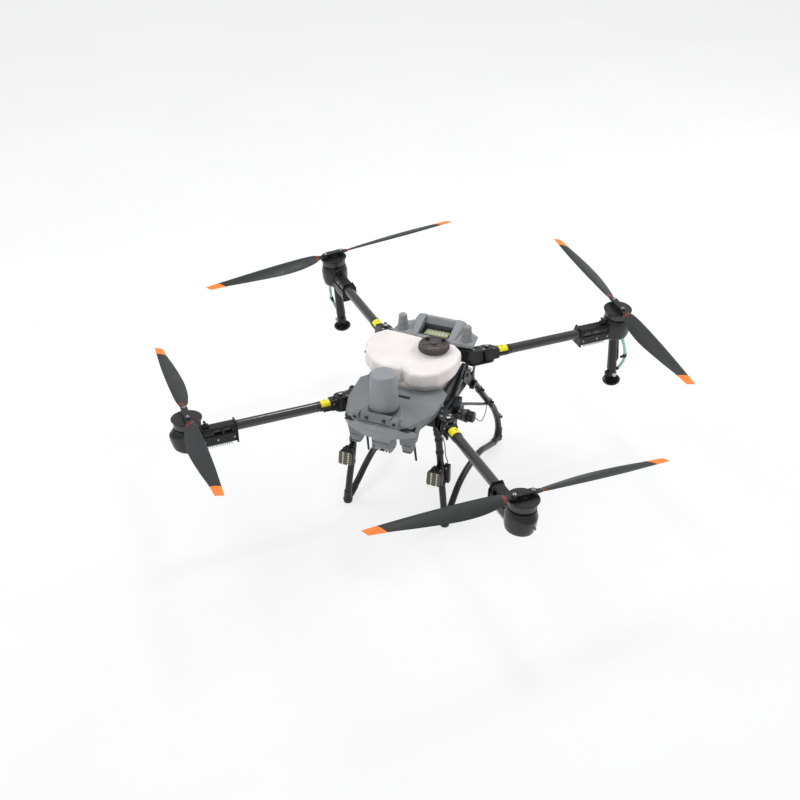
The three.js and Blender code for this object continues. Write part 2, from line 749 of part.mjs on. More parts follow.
function pumpSolid() {
  const [y, z] = [-38, 480];
  return fuse(
    rod(vec(190.3, y, z), vec(226, y, z), 33, 33, 16),
    hull([...oval(0, 0, 0, 24, 17, 2, 12), ...oval(0, 0, 6, 20, 13, 2, 12)]
      .map(([a, b, c]) => [226 + c - 1, y + a, z + 8 + b])),
    rod(vec(212, y, z - 22), vec(250, y, z - 22), 21, 27),
    rod(vec(249, y, z - 22), vec(256, y, z - 22), 29, 29),
    rod(vec(255, y, z - 22), vec(284, y, z - 22), 22, 22),
    rod(vec(208, y + 30, z + 6), vec(208, y + 62, z + 10), 8, 8, 8),
  );
}

// ---------- assembly ----------

const aircraft = new THREE.Group();

function addMesh(parent, name, shape, material) {
  const mesh = new THREE.Mesh(toGeometry(shape), material);
  mesh.name = name;
  parent.add(mesh);
  return mesh;
}

function addGroup(parent, matrix) {
  const group = new THREE.Group();
  matrix.decompose(group.position, group.quaternion, group.scale);
  parent.add(group);
  return group;
}

addMesh(aircraft, 'front_frame', frontFrameSolid(), MATERIAL.frame);
addMesh(aircraft, 'rear_frame', rearFrameSolid(), MATERIAL.frame);
addMesh(aircraft, 'front_shell', frontShellSolid(), MATERIAL.shell);
addMesh(aircraft, 'lower_shell', lowerShellSolid(), MATERIAL.shell);
addMesh(aircraft, 'radar_base', radarBaseSolid(), MATERIAL.darkPlastic);
addMesh(aircraft, 'radar_dome', radarDomeSolid(), MATERIAL.dome);
addMesh(aircraft, 'vision_bar', visionBarSolid(), MATERIAL.darkPlastic);
addMesh(aircraft, 'chin_camera', chinCameraSolid(), MATERIAL.darkPlastic);
addMesh(aircraft, 'flight_controller', flightControllerSolid(), MATERIAL.electronics);
addMesh(aircraft, 'tank', tankSolid(), MATERIAL.tank);
addMesh(aircraft, 'tank_strainer', strainerSolid(), MATERIAL.darkPlastic);
addMesh(aircraft, 'tank_cap', tankCapSolid(), MATERIAL.cap);
addMesh(aircraft, 'rear_shell', rearShellSolid(), MATERIAL.shell);
addMesh(aircraft, 'battery_tray', batteryTraySolid(), MATERIAL.electronics);

const MIRROR = new THREE.Matrix4().makeScale(-1, 1, 1);
const SIDES = { left: new THREE.Matrix4(), right: MIRROR };

for (const [side, mirror] of Object.entries(SIDES)) {
  const half = addGroup(aircraft, mirror);
  addMesh(half, `${side}_rail`, railSolid(), MATERIAL.rail);
  addMesh(half, `${side}_antenna_rod`, antennaRodSolid(), MATERIAL.darkPlastic);
  addMesh(half, `${side}_rear_antenna`, rearAntennaSolid(), MATERIAL.shell);
  addMesh(half, `${side}_front_leg`, fuse(frontLegSolid(), lampClampSolid()), MATERIAL.frame);
  addMesh(half, `${side}_skid`, skidSolid(), MATERIAL.frame);
  addMesh(half, `${side}_rear_leg`, rearLegSolid(), MATERIAL.frame);
  addMesh(half, `${side}_lamp`, lampSolid(), MATERIAL.lamp);
  addMesh(half, `${side}_pump`, pumpSolid(), MATERIAL.darkPlastic);

  for (const [place, arm] of Object.entries(ARMS)) {
    const name = `${place}_${side}`;
    const hand = new THREE.Matrix4().makeScale(1, arm.foldSide, 1);
    const fold = addGroup(half, foldFrame(arm));
    const handed = addGroup(fold, hand);
    addMesh(handed, `${name}_arm`, armSolid(arm), MATERIAL.carbon);
    addMesh(handed, `${name}_latch`, latchSolid(), MATERIAL.frame);

    const motor = addGroup(fold, between(foldFrame(arm), motorFrame(arm)));
    addMesh(motor, `${name}_motor_pod`, podSolid(arm), MATERIAL.motor);
    const turn = radians(arm.foldSide * BLADE_OPEN_ANGLE);
    const rotor = addGroup(motor, new THREE.Matrix4().makeRotationZ(turn));
    addMesh(rotor, `${name}_rotor`, rotorSolid(), MATERIAL.motor);
    for (const [letter, halfTurn] of [['a', 0], ['b', Math.PI]]) {
      const toPin = new THREE.Matrix4().makeTranslation(BLADE_PIN, 0, 0);
      const pin = new THREE.Matrix4().makeRotationZ(halfTurn).multiply(toPin);
      const blade = addGroup(rotor, pin.multiply(hand));
      addMesh(blade, `${name}_blade_${letter}`, bladeSolid(), MATERIAL.blade);
    }

    if (place === 'rear') {
      const sprinkler = addGroup(motor, sprinklerFrame());
      addMesh(sprinkler, `${side}_sprinkler`, columnSolid(), MATERIAL.darkPlastic);
      addMesh(sprinkler, `${side}_spray_disc`, sprayDiscSolid(), MATERIAL.darkPlastic);
      addMesh(sprinkler, `${side}_spray_hose`, hoseSolid(), MATERIAL.hose);
    }
  }
}

export default aircraft;
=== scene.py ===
# Agricultural spray drone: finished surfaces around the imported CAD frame.
# Helpers work in millimetres and pieces are made in metres. Nose towards -Y, the aircraft's left towards +X.

import json
from math import cos, hypot, pi, radians, sin

import bmesh
import bpy
from mathutils import Matrix, Vector


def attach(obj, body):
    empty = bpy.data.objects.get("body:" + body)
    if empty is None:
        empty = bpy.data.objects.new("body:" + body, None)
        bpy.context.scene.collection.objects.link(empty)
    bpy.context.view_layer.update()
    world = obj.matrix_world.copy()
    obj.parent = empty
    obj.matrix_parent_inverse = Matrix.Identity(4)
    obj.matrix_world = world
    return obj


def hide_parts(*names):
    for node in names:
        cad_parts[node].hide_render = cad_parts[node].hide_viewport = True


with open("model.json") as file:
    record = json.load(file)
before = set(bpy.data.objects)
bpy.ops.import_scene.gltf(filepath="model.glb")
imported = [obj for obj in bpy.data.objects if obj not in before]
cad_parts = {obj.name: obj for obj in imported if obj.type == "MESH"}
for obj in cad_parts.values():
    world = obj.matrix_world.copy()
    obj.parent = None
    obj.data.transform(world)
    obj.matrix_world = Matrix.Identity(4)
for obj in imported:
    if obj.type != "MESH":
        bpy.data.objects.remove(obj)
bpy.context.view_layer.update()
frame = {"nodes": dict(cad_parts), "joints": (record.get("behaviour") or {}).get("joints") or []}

MM = 0.001
FACETS = 48  # sides of a large round part
TANK_NECK = (64, 56, 690)  # centre and top of the filler neck
DOME = (0, -333)  # axis of the radar dome
TUBE = 21  # arm tube radius
LEG = 14.5  # landing gear tube radius
TUBE_DROP = -84  # arm tube axis below the rotor disc
POD_BOTTOM = -138
BLADE_PIN = 40
BLADE_PLANE = 17
DISC_DROP = 270  # from the pod's underside down the sprinkler column to the spray disc's joint
TANK_LOBES = [  # outline of each upper half of the tank at its widest, and the height of its top
    ([(-226, 96), (-224, 4), (-196, -66), (-140, -128), (-80, -150), (-6, -150), (-14, 138), (-92, 138), (-186, 150)],
     692),
    ([(44, -166), (96, -160), (150, -122), (178, -62), (188, -12), (184, 56), (172, 98), (128, 140), (-60, 140),
      (-70, -30), (-20, -120)], 686),
]
MIRROR = Matrix.Diagonal((-1, 1, 1, 1))


# ---------- camera, floor and light ----------

def add_camera():
    azimuth = radians(22.157)
    elevation = radians(32.434)
    target = Vector((-0.3314, 0.6513, -0.009))
    back = Vector((sin(azimuth) * cos(elevation), -cos(azimuth) * cos(elevation), sin(elevation)))
    data = bpy.data.cameras.new("camera")
    data.lens = 55.49
    data.sensor_width = 36
    camera = bpy.data.objects.new("camera", data)
    camera.location = target + back * 6.1238
    camera.rotation_euler = (-back).to_track_quat("-Z", "Y").to_euler()
    bpy.context.scene.collection.objects.link(camera)
    bpy.context.scene.camera = camera


def add_area_light(name, location, size, power):
    data = bpy.data.lights.new(name, "AREA")
    data.shape = "DISK"
    data.size = size
    data.energy = power
    light = bpy.data.objects.new(name, data)
    light.location = location
    light.rotation_euler = (-Vector(location)).to_track_quat("-Z", "Y").to_euler()
    bpy.context.scene.collection.objects.link(light)


def add_lights():
    world = bpy.data.worlds.new("studio")
    world.use_nodes = True
    world.node_tree.nodes["Background"].inputs["Color"].default_value = (1, 1, 1, 1)
    world.node_tree.nodes["Background"].inputs["Strength"].default_value = 0.62
    bpy.context.scene.world = world
    bpy.context.scene.view_settings.view_transform = "Standard"
    add_area_light("key", (-3.2, -1.2, 5.2), 3.0, 105)
    add_area_light("back", (2.6, 4.4, 4.0), 2.4, 110)
    add_area_light("top", (-0.4, 1.6, 5.6), 1.0, 55)


# ---------- materials ----------

def srgb(red, green, blue):
    def linear(value):
        value /= 255
        return value / 12.92 if value <= 0.04045 else ((value + 0.055) / 1.055) ** 2.4
    return (linear(red), linear(green), linear(blue), 1)


def scaled(colour, factor):
    return tuple(min(1, c * factor) for c in colour[:3]) + (1,)


class Surface:
    """A Principled material with node-made colour, roughness and bump, in the piece's own coordinates."""

    def __init__(self, name, **sockets):
        self.material = bpy.data.materials.new(name)
        self.material.use_nodes = True
        self.nodes = self.material.node_tree.nodes
        self.links = self.material.node_tree.links
        self.shader = self.nodes["Principled BSDF"]
        self.place = self.nodes.new("ShaderNodeTexCoord").outputs["Object"]
        self.height = None
        for socket, value in sockets.items():
            self.shader.inputs[socket.replace("_", " ")].default_value = value

    def stretch(self, scale):
        mapping = self.nodes.new("ShaderNodeMapping")
        mapping.inputs["Scale"].default_value = scale
        self.links.new(self.place, mapping.inputs["Vector"])
        return mapping.outputs["Vector"]

    def noise(self, size, detail=3, stretch=None):
        node = self.nodes.new("ShaderNodeTexNoise")
        node.inputs["Scale"].default_value = 1 / (size * MM)
        node.inputs["Detail"].default_value = detail
        self.links.new(self.stretch(stretch) if stretch else self.place, node.inputs["Vector"])
        return node.outputs["Fac"]

    def ranged(self, value, low, high, start=0.3, end=0.7):
        node = self.nodes.new("ShaderNodeMapRange")
        node.inputs["From Min"].default_value = start
        node.inputs["From Max"].default_value = end
        node.inputs["To Min"].default_value = low
        node.inputs["To Max"].default_value = high
        self.links.new(value, node.inputs["Value"])
        return node.outputs["Result"]

    def colour(self, value, dark, light):
        ramp = self.nodes.new("ShaderNodeValToRGB")
        ramp.color_ramp.elements[0].position = 0.32
        ramp.color_ramp.elements[1].position = 0.68
        ramp.color_ramp.elements[0].color = dark
        ramp.color_ramp.elements[1].color = light
        self.links.new(value, ramp.inputs["Fac"])
        return ramp.outputs["Color"]

    def bump(self, value, strength, depth):
        node = self.nodes.new("ShaderNodeBump")
        node.inputs["Strength"].default_value = strength
        node.inputs["Distance"].default_value = depth * MM
        self.links.new(value, node.inputs["Height"])
        if self.height:
            self.links.new(self.height, node.inputs["Normal"])
        self.height = node.outputs["Normal"]
        self.links.new(self.height, self.shader.inputs["Normal"])

    def set(self, socket, value):
        self.links.new(value, self.shader.inputs[socket])


def moulded(name, colour, roughness, mottle=0.07, grain=0.25, size=60, **sockets):
    """Moulded plastic or paint: soft colour mottle, smudged roughness and a fine spark-eroded grain."""
    surface = Surface(name, **sockets)
    broad = surface.noise(size, 4)
    surface.set("Base Color", surface.colour(broad, scaled(colour, 1 - mottle), scaled(colour, 1 + mottle)))
    surface.set("Roughness", surface.ranged(surface.noise(size * 0.35, 5), roughness - 0.07, roughness + 0.07))
    surface.bump(surface.noise(1.4, 2), grain, 0.12)
    surface.bump(surface.noise(45, 2), 0.25, 0.5)
    return surface.material


def machined(name, colour, roughness, stretch=(1, 1, 12)):
    """Bare or anodised metal with fine turning lines and a faint tarnish."""
    surface = Surface(name, Metallic=1.0)
    surface.set("Base Color", surface.colour(surface.noise(25, 4), scaled(colour, 0.85), scaled(colour, 1.1)))
    lines = surface.noise(2.5, 3, stretch)
    surface.set("Roughness", surface.ranged(lines, roughness - 0.1, roughness + 0.1))
    surface.bump(lines, 0.2, 0.08)
    return surface.material


def carbon_tube():
    """Satin carbon tube: a fine crossed weave under clear resin."""
    surface = Surface("carbon_tube", Coat_Weight=0.8, Coat_Roughness=0.12)
    weave = None
    for turn in (radians(45), radians(-45)):
        mapping = surface.nodes.new("ShaderNodeMapping")
        mapping.inputs["Rotation"].default_value = (0, 0, turn)
        surface.links.new(surface.place, mapping.inputs["Vector"])
        wave = surface.nodes.new("ShaderNodeTexWave")
        wave.inputs["Scale"].default_value = 120
        surface.links.new(mapping.outputs["Vector"], wave.inputs["Vector"])
        if weave is None:
            weave = wave.outputs["Fac"]
            continue
        product = surface.nodes.new("ShaderNodeMath")
        product.operation = "MULTIPLY"
        surface.links.new(weave, product.inputs[0])
        surface.links.new(wave.outputs["Fac"], product.inputs[1])
        weave = product.outputs["Value"]
    surface.set("Base Color", surface.colour(weave, srgb(20, 20, 21), srgb(34, 34, 35)))
    surface.set("Roughness", surface.ranged(surface.noise(30, 4, (0.2, 1, 1)), 0.3, 0.45))
    surface.bump(weave, 0.15, 0.1)
    return surface.material


def blade_skin(name, colour, roughness):
    """Composite blade: fibres along the span and a faint weathering."""
    surface = Surface(name, Specular_IOR_Level=0.32)
    fibres = surface.noise(3, 3, (0.06, 1, 1))
    surface.set("Base Color", surface.colour(fibres, scaled(colour, 0.88), scaled(colour, 1.14)))
    surface.set("Roughness", surface.ranged(surface.noise(60, 5), roughness - 0.08, roughness + 0.08))
    surface.bump(fibres, 0.12, 0.15)
    return surface.material


def tank_skin():
    """Translucent blow-moulded tank: light passes a little way in, with a soft ripple and a faint waxy grain."""
    surface = Surface("tank_skin", Subsurface_Weight=0.35, Subsurface_Scale=0.02)
    surface.shader.inputs["Subsurface Radius"].default_value = (1.0, 0.85, 0.7)
    surface.set("Base Color", surface.colour(surface.noise(130, 4), srgb(226, 220, 217), srgb(238, 233, 231)))
    surface.set("Roughness", surface.ranged(surface.noise(20, 5), 0.36, 0.5))
    surface.bump(surface.noise(70, 2), 0.3, 1.0)
    surface.bump(surface.noise(1.2, 2), 0.12, 0.1)
    return surface.material


def clear_hose():
    """Soft green hose: tinted, with a milky bloom along its length."""
    surface = Surface("mint_hose", Transmission_Weight=0.25, IOR=1.42)
    surface.set("Base Color", surface.colour(surface.noise(12, 3), srgb(150, 214, 200), srgb(190, 234, 224)))
    surface.set("Roughness", surface.ranged(surface.noise(6, 3), 0.2, 0.35))
    surface.bump(surface.noise(8, 2), 0.15, 0.2)
    return surface.material


def lit_lens(name, colour, glow):
    """A lamp diode: bright dome with a soft glow."""
    surface = Surface(name, Emission_Strength=glow)
    tint = surface.colour(surface.noise(2, 2), scaled(colour, 0.9), colour)
    surface.set("Base Color", tint)
    surface.set("Emission Color", tint)
    surface.set("Roughness", surface.ranged(surface.noise(3, 2), 0.15, 0.3))
    return surface.material


def floor_paper():
    surface = Surface("floor_paper", Emission_Strength=0.69, Specular_IOR_Level=0.0)
    surface.shader.inputs["Emission Color"].default_value = (1, 1, 1, 1)
    surface.set("Base Color", surface.colour(surface.noise(900, 4), srgb(142, 142, 143), srgb(147, 147, 148)))
    surface.set("Roughness", surface.ranged(surface.noise(400, 4), 0.8, 0.9))
    surface.bump(surface.noise(30, 3), 0.05, 0.3)
    return surface.material


SHELL = moulded("shell_grey", srgb(116, 121, 124), 0.5)
# A lighter copy of the shell grey: partly the paler tone of the front parts, partly painted highlight where they face
# the light.
SHELL_LIGHT_AND_LIT = moulded("shell_light_and_painted_lit", srgb(140, 144, 147), 0.5)
SHELL_REAR = moulded("shell_rear", srgb(138, 141, 144), 0.5)
# Darker shell grey: the own colour of the radar seat ring, pump covers and screw heads, and painted shade on the walls
# of the rear battery slot.
SHELL_DARK_AND_SHADE = moulded("shell_dark_and_painted_shade", srgb(74, 80, 84), 0.52)
DOME_GREY = moulded("dome_grey", srgb(142, 145, 149), 0.45, mottle=0.03)
BLACK = moulded("black_plastic", srgb(24, 24, 25), 0.38, grain=0.3, Specular_IOR_Level=0.35)
FRAME_BLACK = moulded("frame_black", srgb(27, 27, 28), 0.34, grain=0.2, Specular_IOR_Level=0.4)
# Near-black: the own colour of the seam under each rotor bell, and painted shade filling the vent slots and front slits
# of the nose cover.
DEEP_BLACK_AND_SHADE = moulded("deep_black_and_painted_shade", srgb(14, 14, 15), 0.6)
POD_BLACK = moulded("pod_black", srgb(26, 26, 27), 0.22, grain=0.08, Specular_IOR_Level=0.5)
BELL_GREY = moulded("bell_grey", srgb(58, 58, 59), 0.3, grain=0.1)
DISC_BLACK = moulded("disc_black", srgb(28, 28, 29), 0.36, grain=0.15, Specular_IOR_Level=0.4)
LEG_BLACK = moulded("leg_black", srgb(21, 21, 22), 0.3, grain=0.15, Specular_IOR_Level=0.4)
RUBBER = moulded("rubber", srgb(28, 28, 28), 0.7, grain=0.4)
CARBON = carbon_tube()
BLADE = blade_skin("blade_grey", srgb(44, 45, 46), 0.42)
BLADE_TIP = blade_skin("blade_orange", srgb(246, 132, 52), 0.5)
BLADE_BAND = blade_skin("blade_band", srgb(118, 50, 34), 0.5)
TANK = tank_skin()
CAP = moulded("cap_brown", srgb(72, 66, 65), 0.45, grain=0.3)
CAP_TAB = moulded("cap_tab", srgb(98, 91, 89), 0.42)
YELLOW = moulded("label_yellow", srgb(240, 226, 36), 0.4, mottle=0.03, grain=0.1)
LABEL_DARK = moulded("label_dark", srgb(60, 56, 30), 0.5)
LABEL_GREEN = moulded("label_green", srgb(158, 164, 120), 0.5)
LABEL_PALE = moulded("label_pale", srgb(200, 202, 190), 0.5)
STEEL = machined("steel", srgb(205, 205, 208), 0.3)
FIN_GREY = machined("fin_grey", srgb(190, 191, 192), 0.42)
RAIL_METAL = machined("rail_metal", srgb(78, 79, 81), 0.42, (1, 0.1, 1))
PUMP_GREY = moulded("pump_grey", srgb(96, 102, 110), 0.35, Metallic=0.5)
HOSE = clear_hose()
LENS = moulded("lens_black", srgb(10, 10, 14), 0.08, mottle=0.02, grain=0.02, Coat_Weight=1.0)
LAMP_FACE = moulded("lamp_face", srgb(92, 88, 80), 0.3)
DIODE = lit_lens("diode", srgb(236, 230, 208), 0.2)


# ---------- shapes: (points, faces), in millimetres ----------

def join(*shapes):
    points, faces = [], []
    for more_points, more_faces in shapes:
        first = len(points)
        points += [tuple(p) for p in more_points]
        faces += [tuple(first + i for i in face) for face in more_faces]
    return points, faces


def moved(shape, matrix):
    return [tuple(matrix @ Vector(p)) for p in shape[0]], shape[1]


def shifted(shape, x=0, y=0, z=0):
    return moved(shape, Matrix.Translation((x, y, z)))


def mirrored(shape):
    return moved(shape, MIRROR)


def bridge(lower, upper):
    count = max(len(lower), len(upper))
    if len(lower) == 1:
        return [(lower[0], upper[i], upper[(i + 1) % count]) for i in range(count)]
    if len(upper) == 1:
        return [(lower[i], lower[(i + 1) % count], upper[0]) for i in range(count)]
    return [(lower[i], lower[(i + 1) % count], upper[(i + 1) % count], upper[i]) for i in range(count)]


def lathe(profile, sides=FACETS):
    """A body of revolution about Z from (radius, height) pairs."""
    points, rows, faces = [], [], []
    for radius, height in profile:
        count = sides if radius > 1e-6 else 1
        rows.append(list(range(len(points), len(points) + count)))
        for i in range(count):
            angle = 2 * pi * (i + 0.5) / sides
            points.append((radius * cos(angle), radius * sin(angle), height))
    for lower, upper in zip(rows, rows[1:]):
        if len(lower) > 1 or len(upper) > 1:
            faces += bridge(lower, upper)
    return points, faces


def loft(rings):
    """A skin through rings of equal count, closed by a flat face at each end."""
    count = len(rings[0])
    points = [p for ring in rings for p in ring]
    faces = []
    for row in range(len(rings) - 1):
        lower = list(range(row * count, (row + 1) * count))
        faces += bridge(lower, [i + count for i in lower])
    faces.append(tuple(reversed(range(count))))
    faces.append(tuple(range(len(points) - count, len(points))))
    return points, faces


def oval(cx, cy, z, rx, ry, power=2.6, count=28):
    ring = []
    for i in range(count):
        angle = 2 * pi * (i + 0.5) / count
        c, s = cos(angle), sin(angle)
        x = abs(c) ** (2 / power) * rx * (1 if c > 0 else -1)
        y = abs(s) ** (2 / power) * ry * (1 if s > 0 else -1)
        ring.append((cx + x, cy + y, z))
    return ring


def from_bmesh(mesh):
    mesh.verts.index_update()
    points = [tuple(v.co) for v in mesh.verts]
    faces = [tuple(v.index for v in face.verts) for face in mesh.faces]
    mesh.free()
    return points, faces


def to_bmesh(shape):
    mesh = bmesh.new()
    verts = [mesh.verts.new(p) for p in shape[0]]
    for face in shape[1]:
        try:
            mesh.faces.new([verts[i] for i in face])
        except ValueError:
            continue
    return mesh


def hull(points):
    mesh = bmesh.new()
    for p in points:
        mesh.verts.new(p)
    result = bmesh.ops.convex_hull(mesh, input=mesh.verts)
    spare = [g for g in result["geom_interior"] + result["geom_unused"] if isinstance(g, bmesh.types.BMVert)]
    bmesh.ops.delete(mesh, geom=list(set(spare)), context="VERTS")
    bmesh.ops.dissolve_limit(mesh, angle_limit=radians(1), verts=mesh.verts, edges=mesh.edges)
    return from_bmesh(mesh)


def rounded(shape, width, segments=2, limit=25):
    """Bevels every edge that turns by more than the limit, in degrees."""
    mesh = to_bmesh(shape)
    bmesh.ops.remove_doubles(mesh, verts=mesh.verts, dist=0.01)
    bmesh.ops.recalc_face_normals(mesh, faces=mesh.faces)
    edges = [e for e in mesh.edges if len(e.link_faces) == 2 and e.calc_face_angle(0) > radians(limit)]
    bmesh.ops.bevel(mesh, geom=edges, offset=width, segments=segments, affect="EDGES", profile=0.5,
                    clamp_overlap=True)
    return from_bmesh(mesh)


def slab(low, high, width=1.2, segments=2):
    """A rounded block between two corners."""
    corners = [(x, y, z) for x in (low[0], high[0]) for y in (low[1], high[1]) for z in (low[2], high[2])]
    return rounded(hull(corners), width, segments) if width else hull(corners)


def both_sides(points):
    return list(points) + [(-x, y, z) for x, y, z in points]


def along(start, end):
    """A matrix that lays +Z along the line from start towards end."""
    direction = Vector(end) - Vector(start)
    return Matrix.Translation(start) @ direction.to_track_quat("Z", "Y").to_matrix().to_4x4()


def rod(start, end, radius, end_radius=None, sides=24, edge=1.0):
    end_radius = radius if end_radius is None else end_radius
    length = (Vector(end) - Vector(start)).length
    profile = [(0, 0), (radius - edge, 0), (radius, edge), (end_radius, length - edge),
               (end_radius - edge, length), (0, length)]
    return moved(lathe(profile, sides), along(start, end))


def smooth_path(points, steps):
    """Centripetal-like Catmull-Rom points through a given route."""
    route = [Vector(p) for p in points]
    ends = [2 * route[0] - route[1]] + route + [2 * route[-1] - route[-2]]
    result = []
    for a, b, c, d in zip(ends, ends[1:], ends[2:], ends[3:]):
        for i in range(steps):
            t = i / steps
            result.append(0.5 * (2 * b + (c - a) * t + (2 * a - 5 * b + 4 * c - d) * t * t
                                 + (3 * b - a - 3 * c + d) * t ** 3))
    return result + [route[-1]]


def tube(points, radius, sides=16, steps=6):
    """A round bar along a smooth route, with the ring carried along without twist."""
    path = smooth_path(points, steps)
    rings = []
    normal = (path[1] - path[0]).orthogonal().normalized()
    for i, place in enumerate(path):
        forward = (path[min(i + 1, len(path) - 1)] - path[max(i - 1, 0)]).normalized()
        normal = (normal - forward * normal.dot(forward)).normalized()
        across = forward.cross(normal)
        angles = [2 * pi * k / sides for k in range(sides)]
        rings.append([tuple(place + (normal * cos(a) + across * sin(a)) * radius) for a in angles])
    return loft(rings)


def evaluated(shape, stack, cutters=()):
    """The shape after a stack of modifiers; each cutter is taken away first."""
    scratch = [bpy.data.objects.new("scratch", bpy.data.meshes.new("scratch")) for _ in range(1 + len(cutters))]
    for holder, part in zip(scratch, (shape, *cutters)):
        mesh = to_bmesh(part)
        bmesh.ops.recalc_face_normals(mesh, faces=mesh.faces)
        mesh.to_mesh(holder.data)
        mesh.free()
        bpy.context.scene.collection.objects.link(holder)
    for cutter in scratch[1:]:
        modifier = scratch[0].modifiers.new("cut", "BOOLEAN")
        modifier.operation = "DIFFERENCE"
        modifier.solver = "EXACT"
        modifier.object = cutter
    for kind, values in stack:
        modifier = scratch[0].modifiers.new(kind, kind)
        for key, value in values.items():
            setattr(modifier, key, value)
    graph = bpy.context.evaluated_depsgraph_get()
    result = scratch[0].evaluated_get(graph)
    mesh = result.to_mesh()
    points = [tuple(v.co) for v in mesh.vertices]
    faces = [tuple(p.vertices) for p in mesh.polygons]
    result.to_mesh_clear()
    for holder in scratch:
        data = holder.data
        bpy.data.objects.remove(holder)
        bpy.data.meshes.remove(data)
    return points, faces


def carved(shape, *cutters):
    return evaluated(shape, [], cutters)


def blended(parts, voxel, rounds, cutters=()):
    """One moulded skin: parts fused on a voxel grid and smoothed."""
    fused = evaluated(join(*parts), [
        ("REMESH", {"mode": "VOXEL", "voxel_size": voxel}),
        ("SMOOTH", {"factor": 0.5, "iterations": rounds}),
    ])
    return carved(fused, *cutters) if cutters else fused


def cad_copy(node, width, segments=2):
    """The faceted body of a CAD node with its flats merged and its edges rounded."""
    mesh = bmesh.new()
    mesh.from_mesh(frame["nodes"][node].data)
    bmesh.ops.scale(mesh, vec=(1 / MM, 1 / MM, 1 / MM), verts=mesh.verts)
    bmesh.ops.remove_doubles(mesh, verts=mesh.verts, dist=0.02)
    bmesh.ops.dissolve_limit(mesh, angle_limit=radians(2), verts=mesh.verts, edges=mesh.edges)
    return rounded(from_bmesh(mesh), width, segments)


def hex_bolt(start, direction, radius=4.5, height=4):
    """A washer and a hexagon head with a socket, standing on start."""
    washer = lathe([(0, 0), (radius * 1.4, 0), (radius * 1.4, 1), (0, 1)], 20)
    head = lathe([(0, 0.8), (radius, 0.8), (radius, height - 0.5), (radius - 0.5, height),
                  (radius * 0.55, height), (radius * 0.5, height * 0.5), (0, height * 0.5)], 6)
    return moved(join(washer, head), along(start, Vector(start) + Vector(direction)))


# ---------- pieces ----------

def piece(name, finishes, body, replaces=(), place=None, sharp=32):
    """One named object from (shape, material) pairs, in the place's own coordinates."""
    place = place or Matrix.Identity(4)
    flip = Matrix.Diagonal((1, -1, 1, 1)) if place.determinant() < 0 else Matrix.Identity(4)
    place = place @ flip
    mesh = bpy.data.meshes.new(name)
    shape = join(*[shape for shape, _ in finishes])
    finished = to_bmesh(moved(shape, Matrix.Scale(MM, 4) @ flip))
    bmesh.ops.recalc_face_normals(finished, faces=finished.faces)
    finished.to_mesh(mesh)
    finished.free()
    materials = []
    indices = []
    for part, material in finishes:
        if material not in materials:
            materials.append(material)
            mesh.materials.append(material)
        indices += [materials.index(material)] * len(part[1])
    if len(indices) != len(mesh.polygons):
        raise ValueError(f"{name} has {len(indices) - len(mesh.polygons)} repeated faces")
    mesh.polygons.foreach_set("material_index", indices)
    mesh.shade_smooth()
    mesh.set_sharp_from_angle(angle=radians(sharp))
    made = bpy.data.objects.new(name, mesh)
    made.matrix_world = Matrix.Translation(place.to_translation() * MM) @ place.to_3x3().to_4x4()
    bpy.context.scene.collection.objects.link(made)
    weighted = made.modifiers.new("weighted_normals", "WEIGHTED_NORMAL")
    weighted.keep_sharp = True
    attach(made, body)
    if replaces:
        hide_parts(*replaces)
    return made


# ---------- frames from the joints ----------

JOINTS = {joint["name"]: joint for joint in frame["joints"]}


def joint_point(name):
    return Vector(JOINTS[name]["pos_m"]) / MM


def joint_axis(name):
    axis = Vector(JOINTS[name]["axis"])
    return axis if axis.z > 0 else -axis


def frame_at(origin, x_axis, z_axis):
    x = x_axis.normalized()
    y = z_axis.cross(x).normalized()
    z = x.cross(y)
    return Matrix.Translation(origin) @ Matrix((x, y, z)).transposed().to_4x4()


def arm_frames(place, side):
    """The fold frame and the motor frame of an arm; the right-hand ones are mirror images of the left."""
    fold, spin = f"{place}_left_fold", f"{place}_left_spin"
    out = joint_point(fold)
    out.z = 0
    frames = [frame_at(joint_point(name), out, joint_axis(name)) for name in (fold, spin)]
    return frames if side == "left" else [MIRROR @ f for f in frames]


# ---------- arm, latch and fork bolts ----------

def patch(radius, x0, x1, half_angle, thickness=0.4):
    """A label wrapped over the top of a tube that lies along X."""
    rings = []
    for x in (x0, x1):
        angles = [radians(-half_angle + half_angle * i / 8) for i in range(17)]
        outer = [(x, sin(a) * radius, cos(a) * radius) for a in angles]
        inner = [(x, sin(a) * (radius - thickness), cos(a) * (radius - thickness)) for a in reversed(angles)]
        rings.append(outer + inner)
    return loft(rings)


def add_arm(name, place, fold, hand, reach):
    knuckle_ends = [(x, y, z) for x, w, h in ((0, 25, 24.2), (50, 23.5, 23)) for y in (-w, w) for z in (-h, h)]
    barrel = lathe([(0, -24.2), (26, -24.2), (27, -23), (27, 23), (26, 24.2), (0, 24.2)])
    tube_end = reach - 62
    clip = [rod((x, 0, 0), (x + 4, 0, 0), TUBE + 1.1, sides=FACETS) for x in (104, tube_end - 136)]
    dot = lathe([(0, 0), (3.2, 0), (3.2, 0.5), (0, 0.5)], 16)
    piece(f"{name}_arm_tube", [
        (join(barrel, rounded(hull(knuckle_ends), 4, 3)), FRAME_BLACK),
        (rod((46, 0, 0), (96, 0, 0), TUBE + 1.8, sides=FACETS), BLACK),
        (join(*clip), BLACK),
        (rod((95, 0, 0), (tube_end, 0, 0), TUBE, sides=FACETS), CARBON),
        (patch(TUBE + 2.2, 52, 92, 78), YELLOW),
        (shifted(dot, 70, 3, TUBE + 2.1), LABEL_DARK),
        (join(*[hex_bolt((24, y, 24), (0, 0, 1), 3.5, 3) for y in (-15, 15)]), STEEL),
    ], f"{place}_arm", [f"{name}_arm"], fold @ hand)


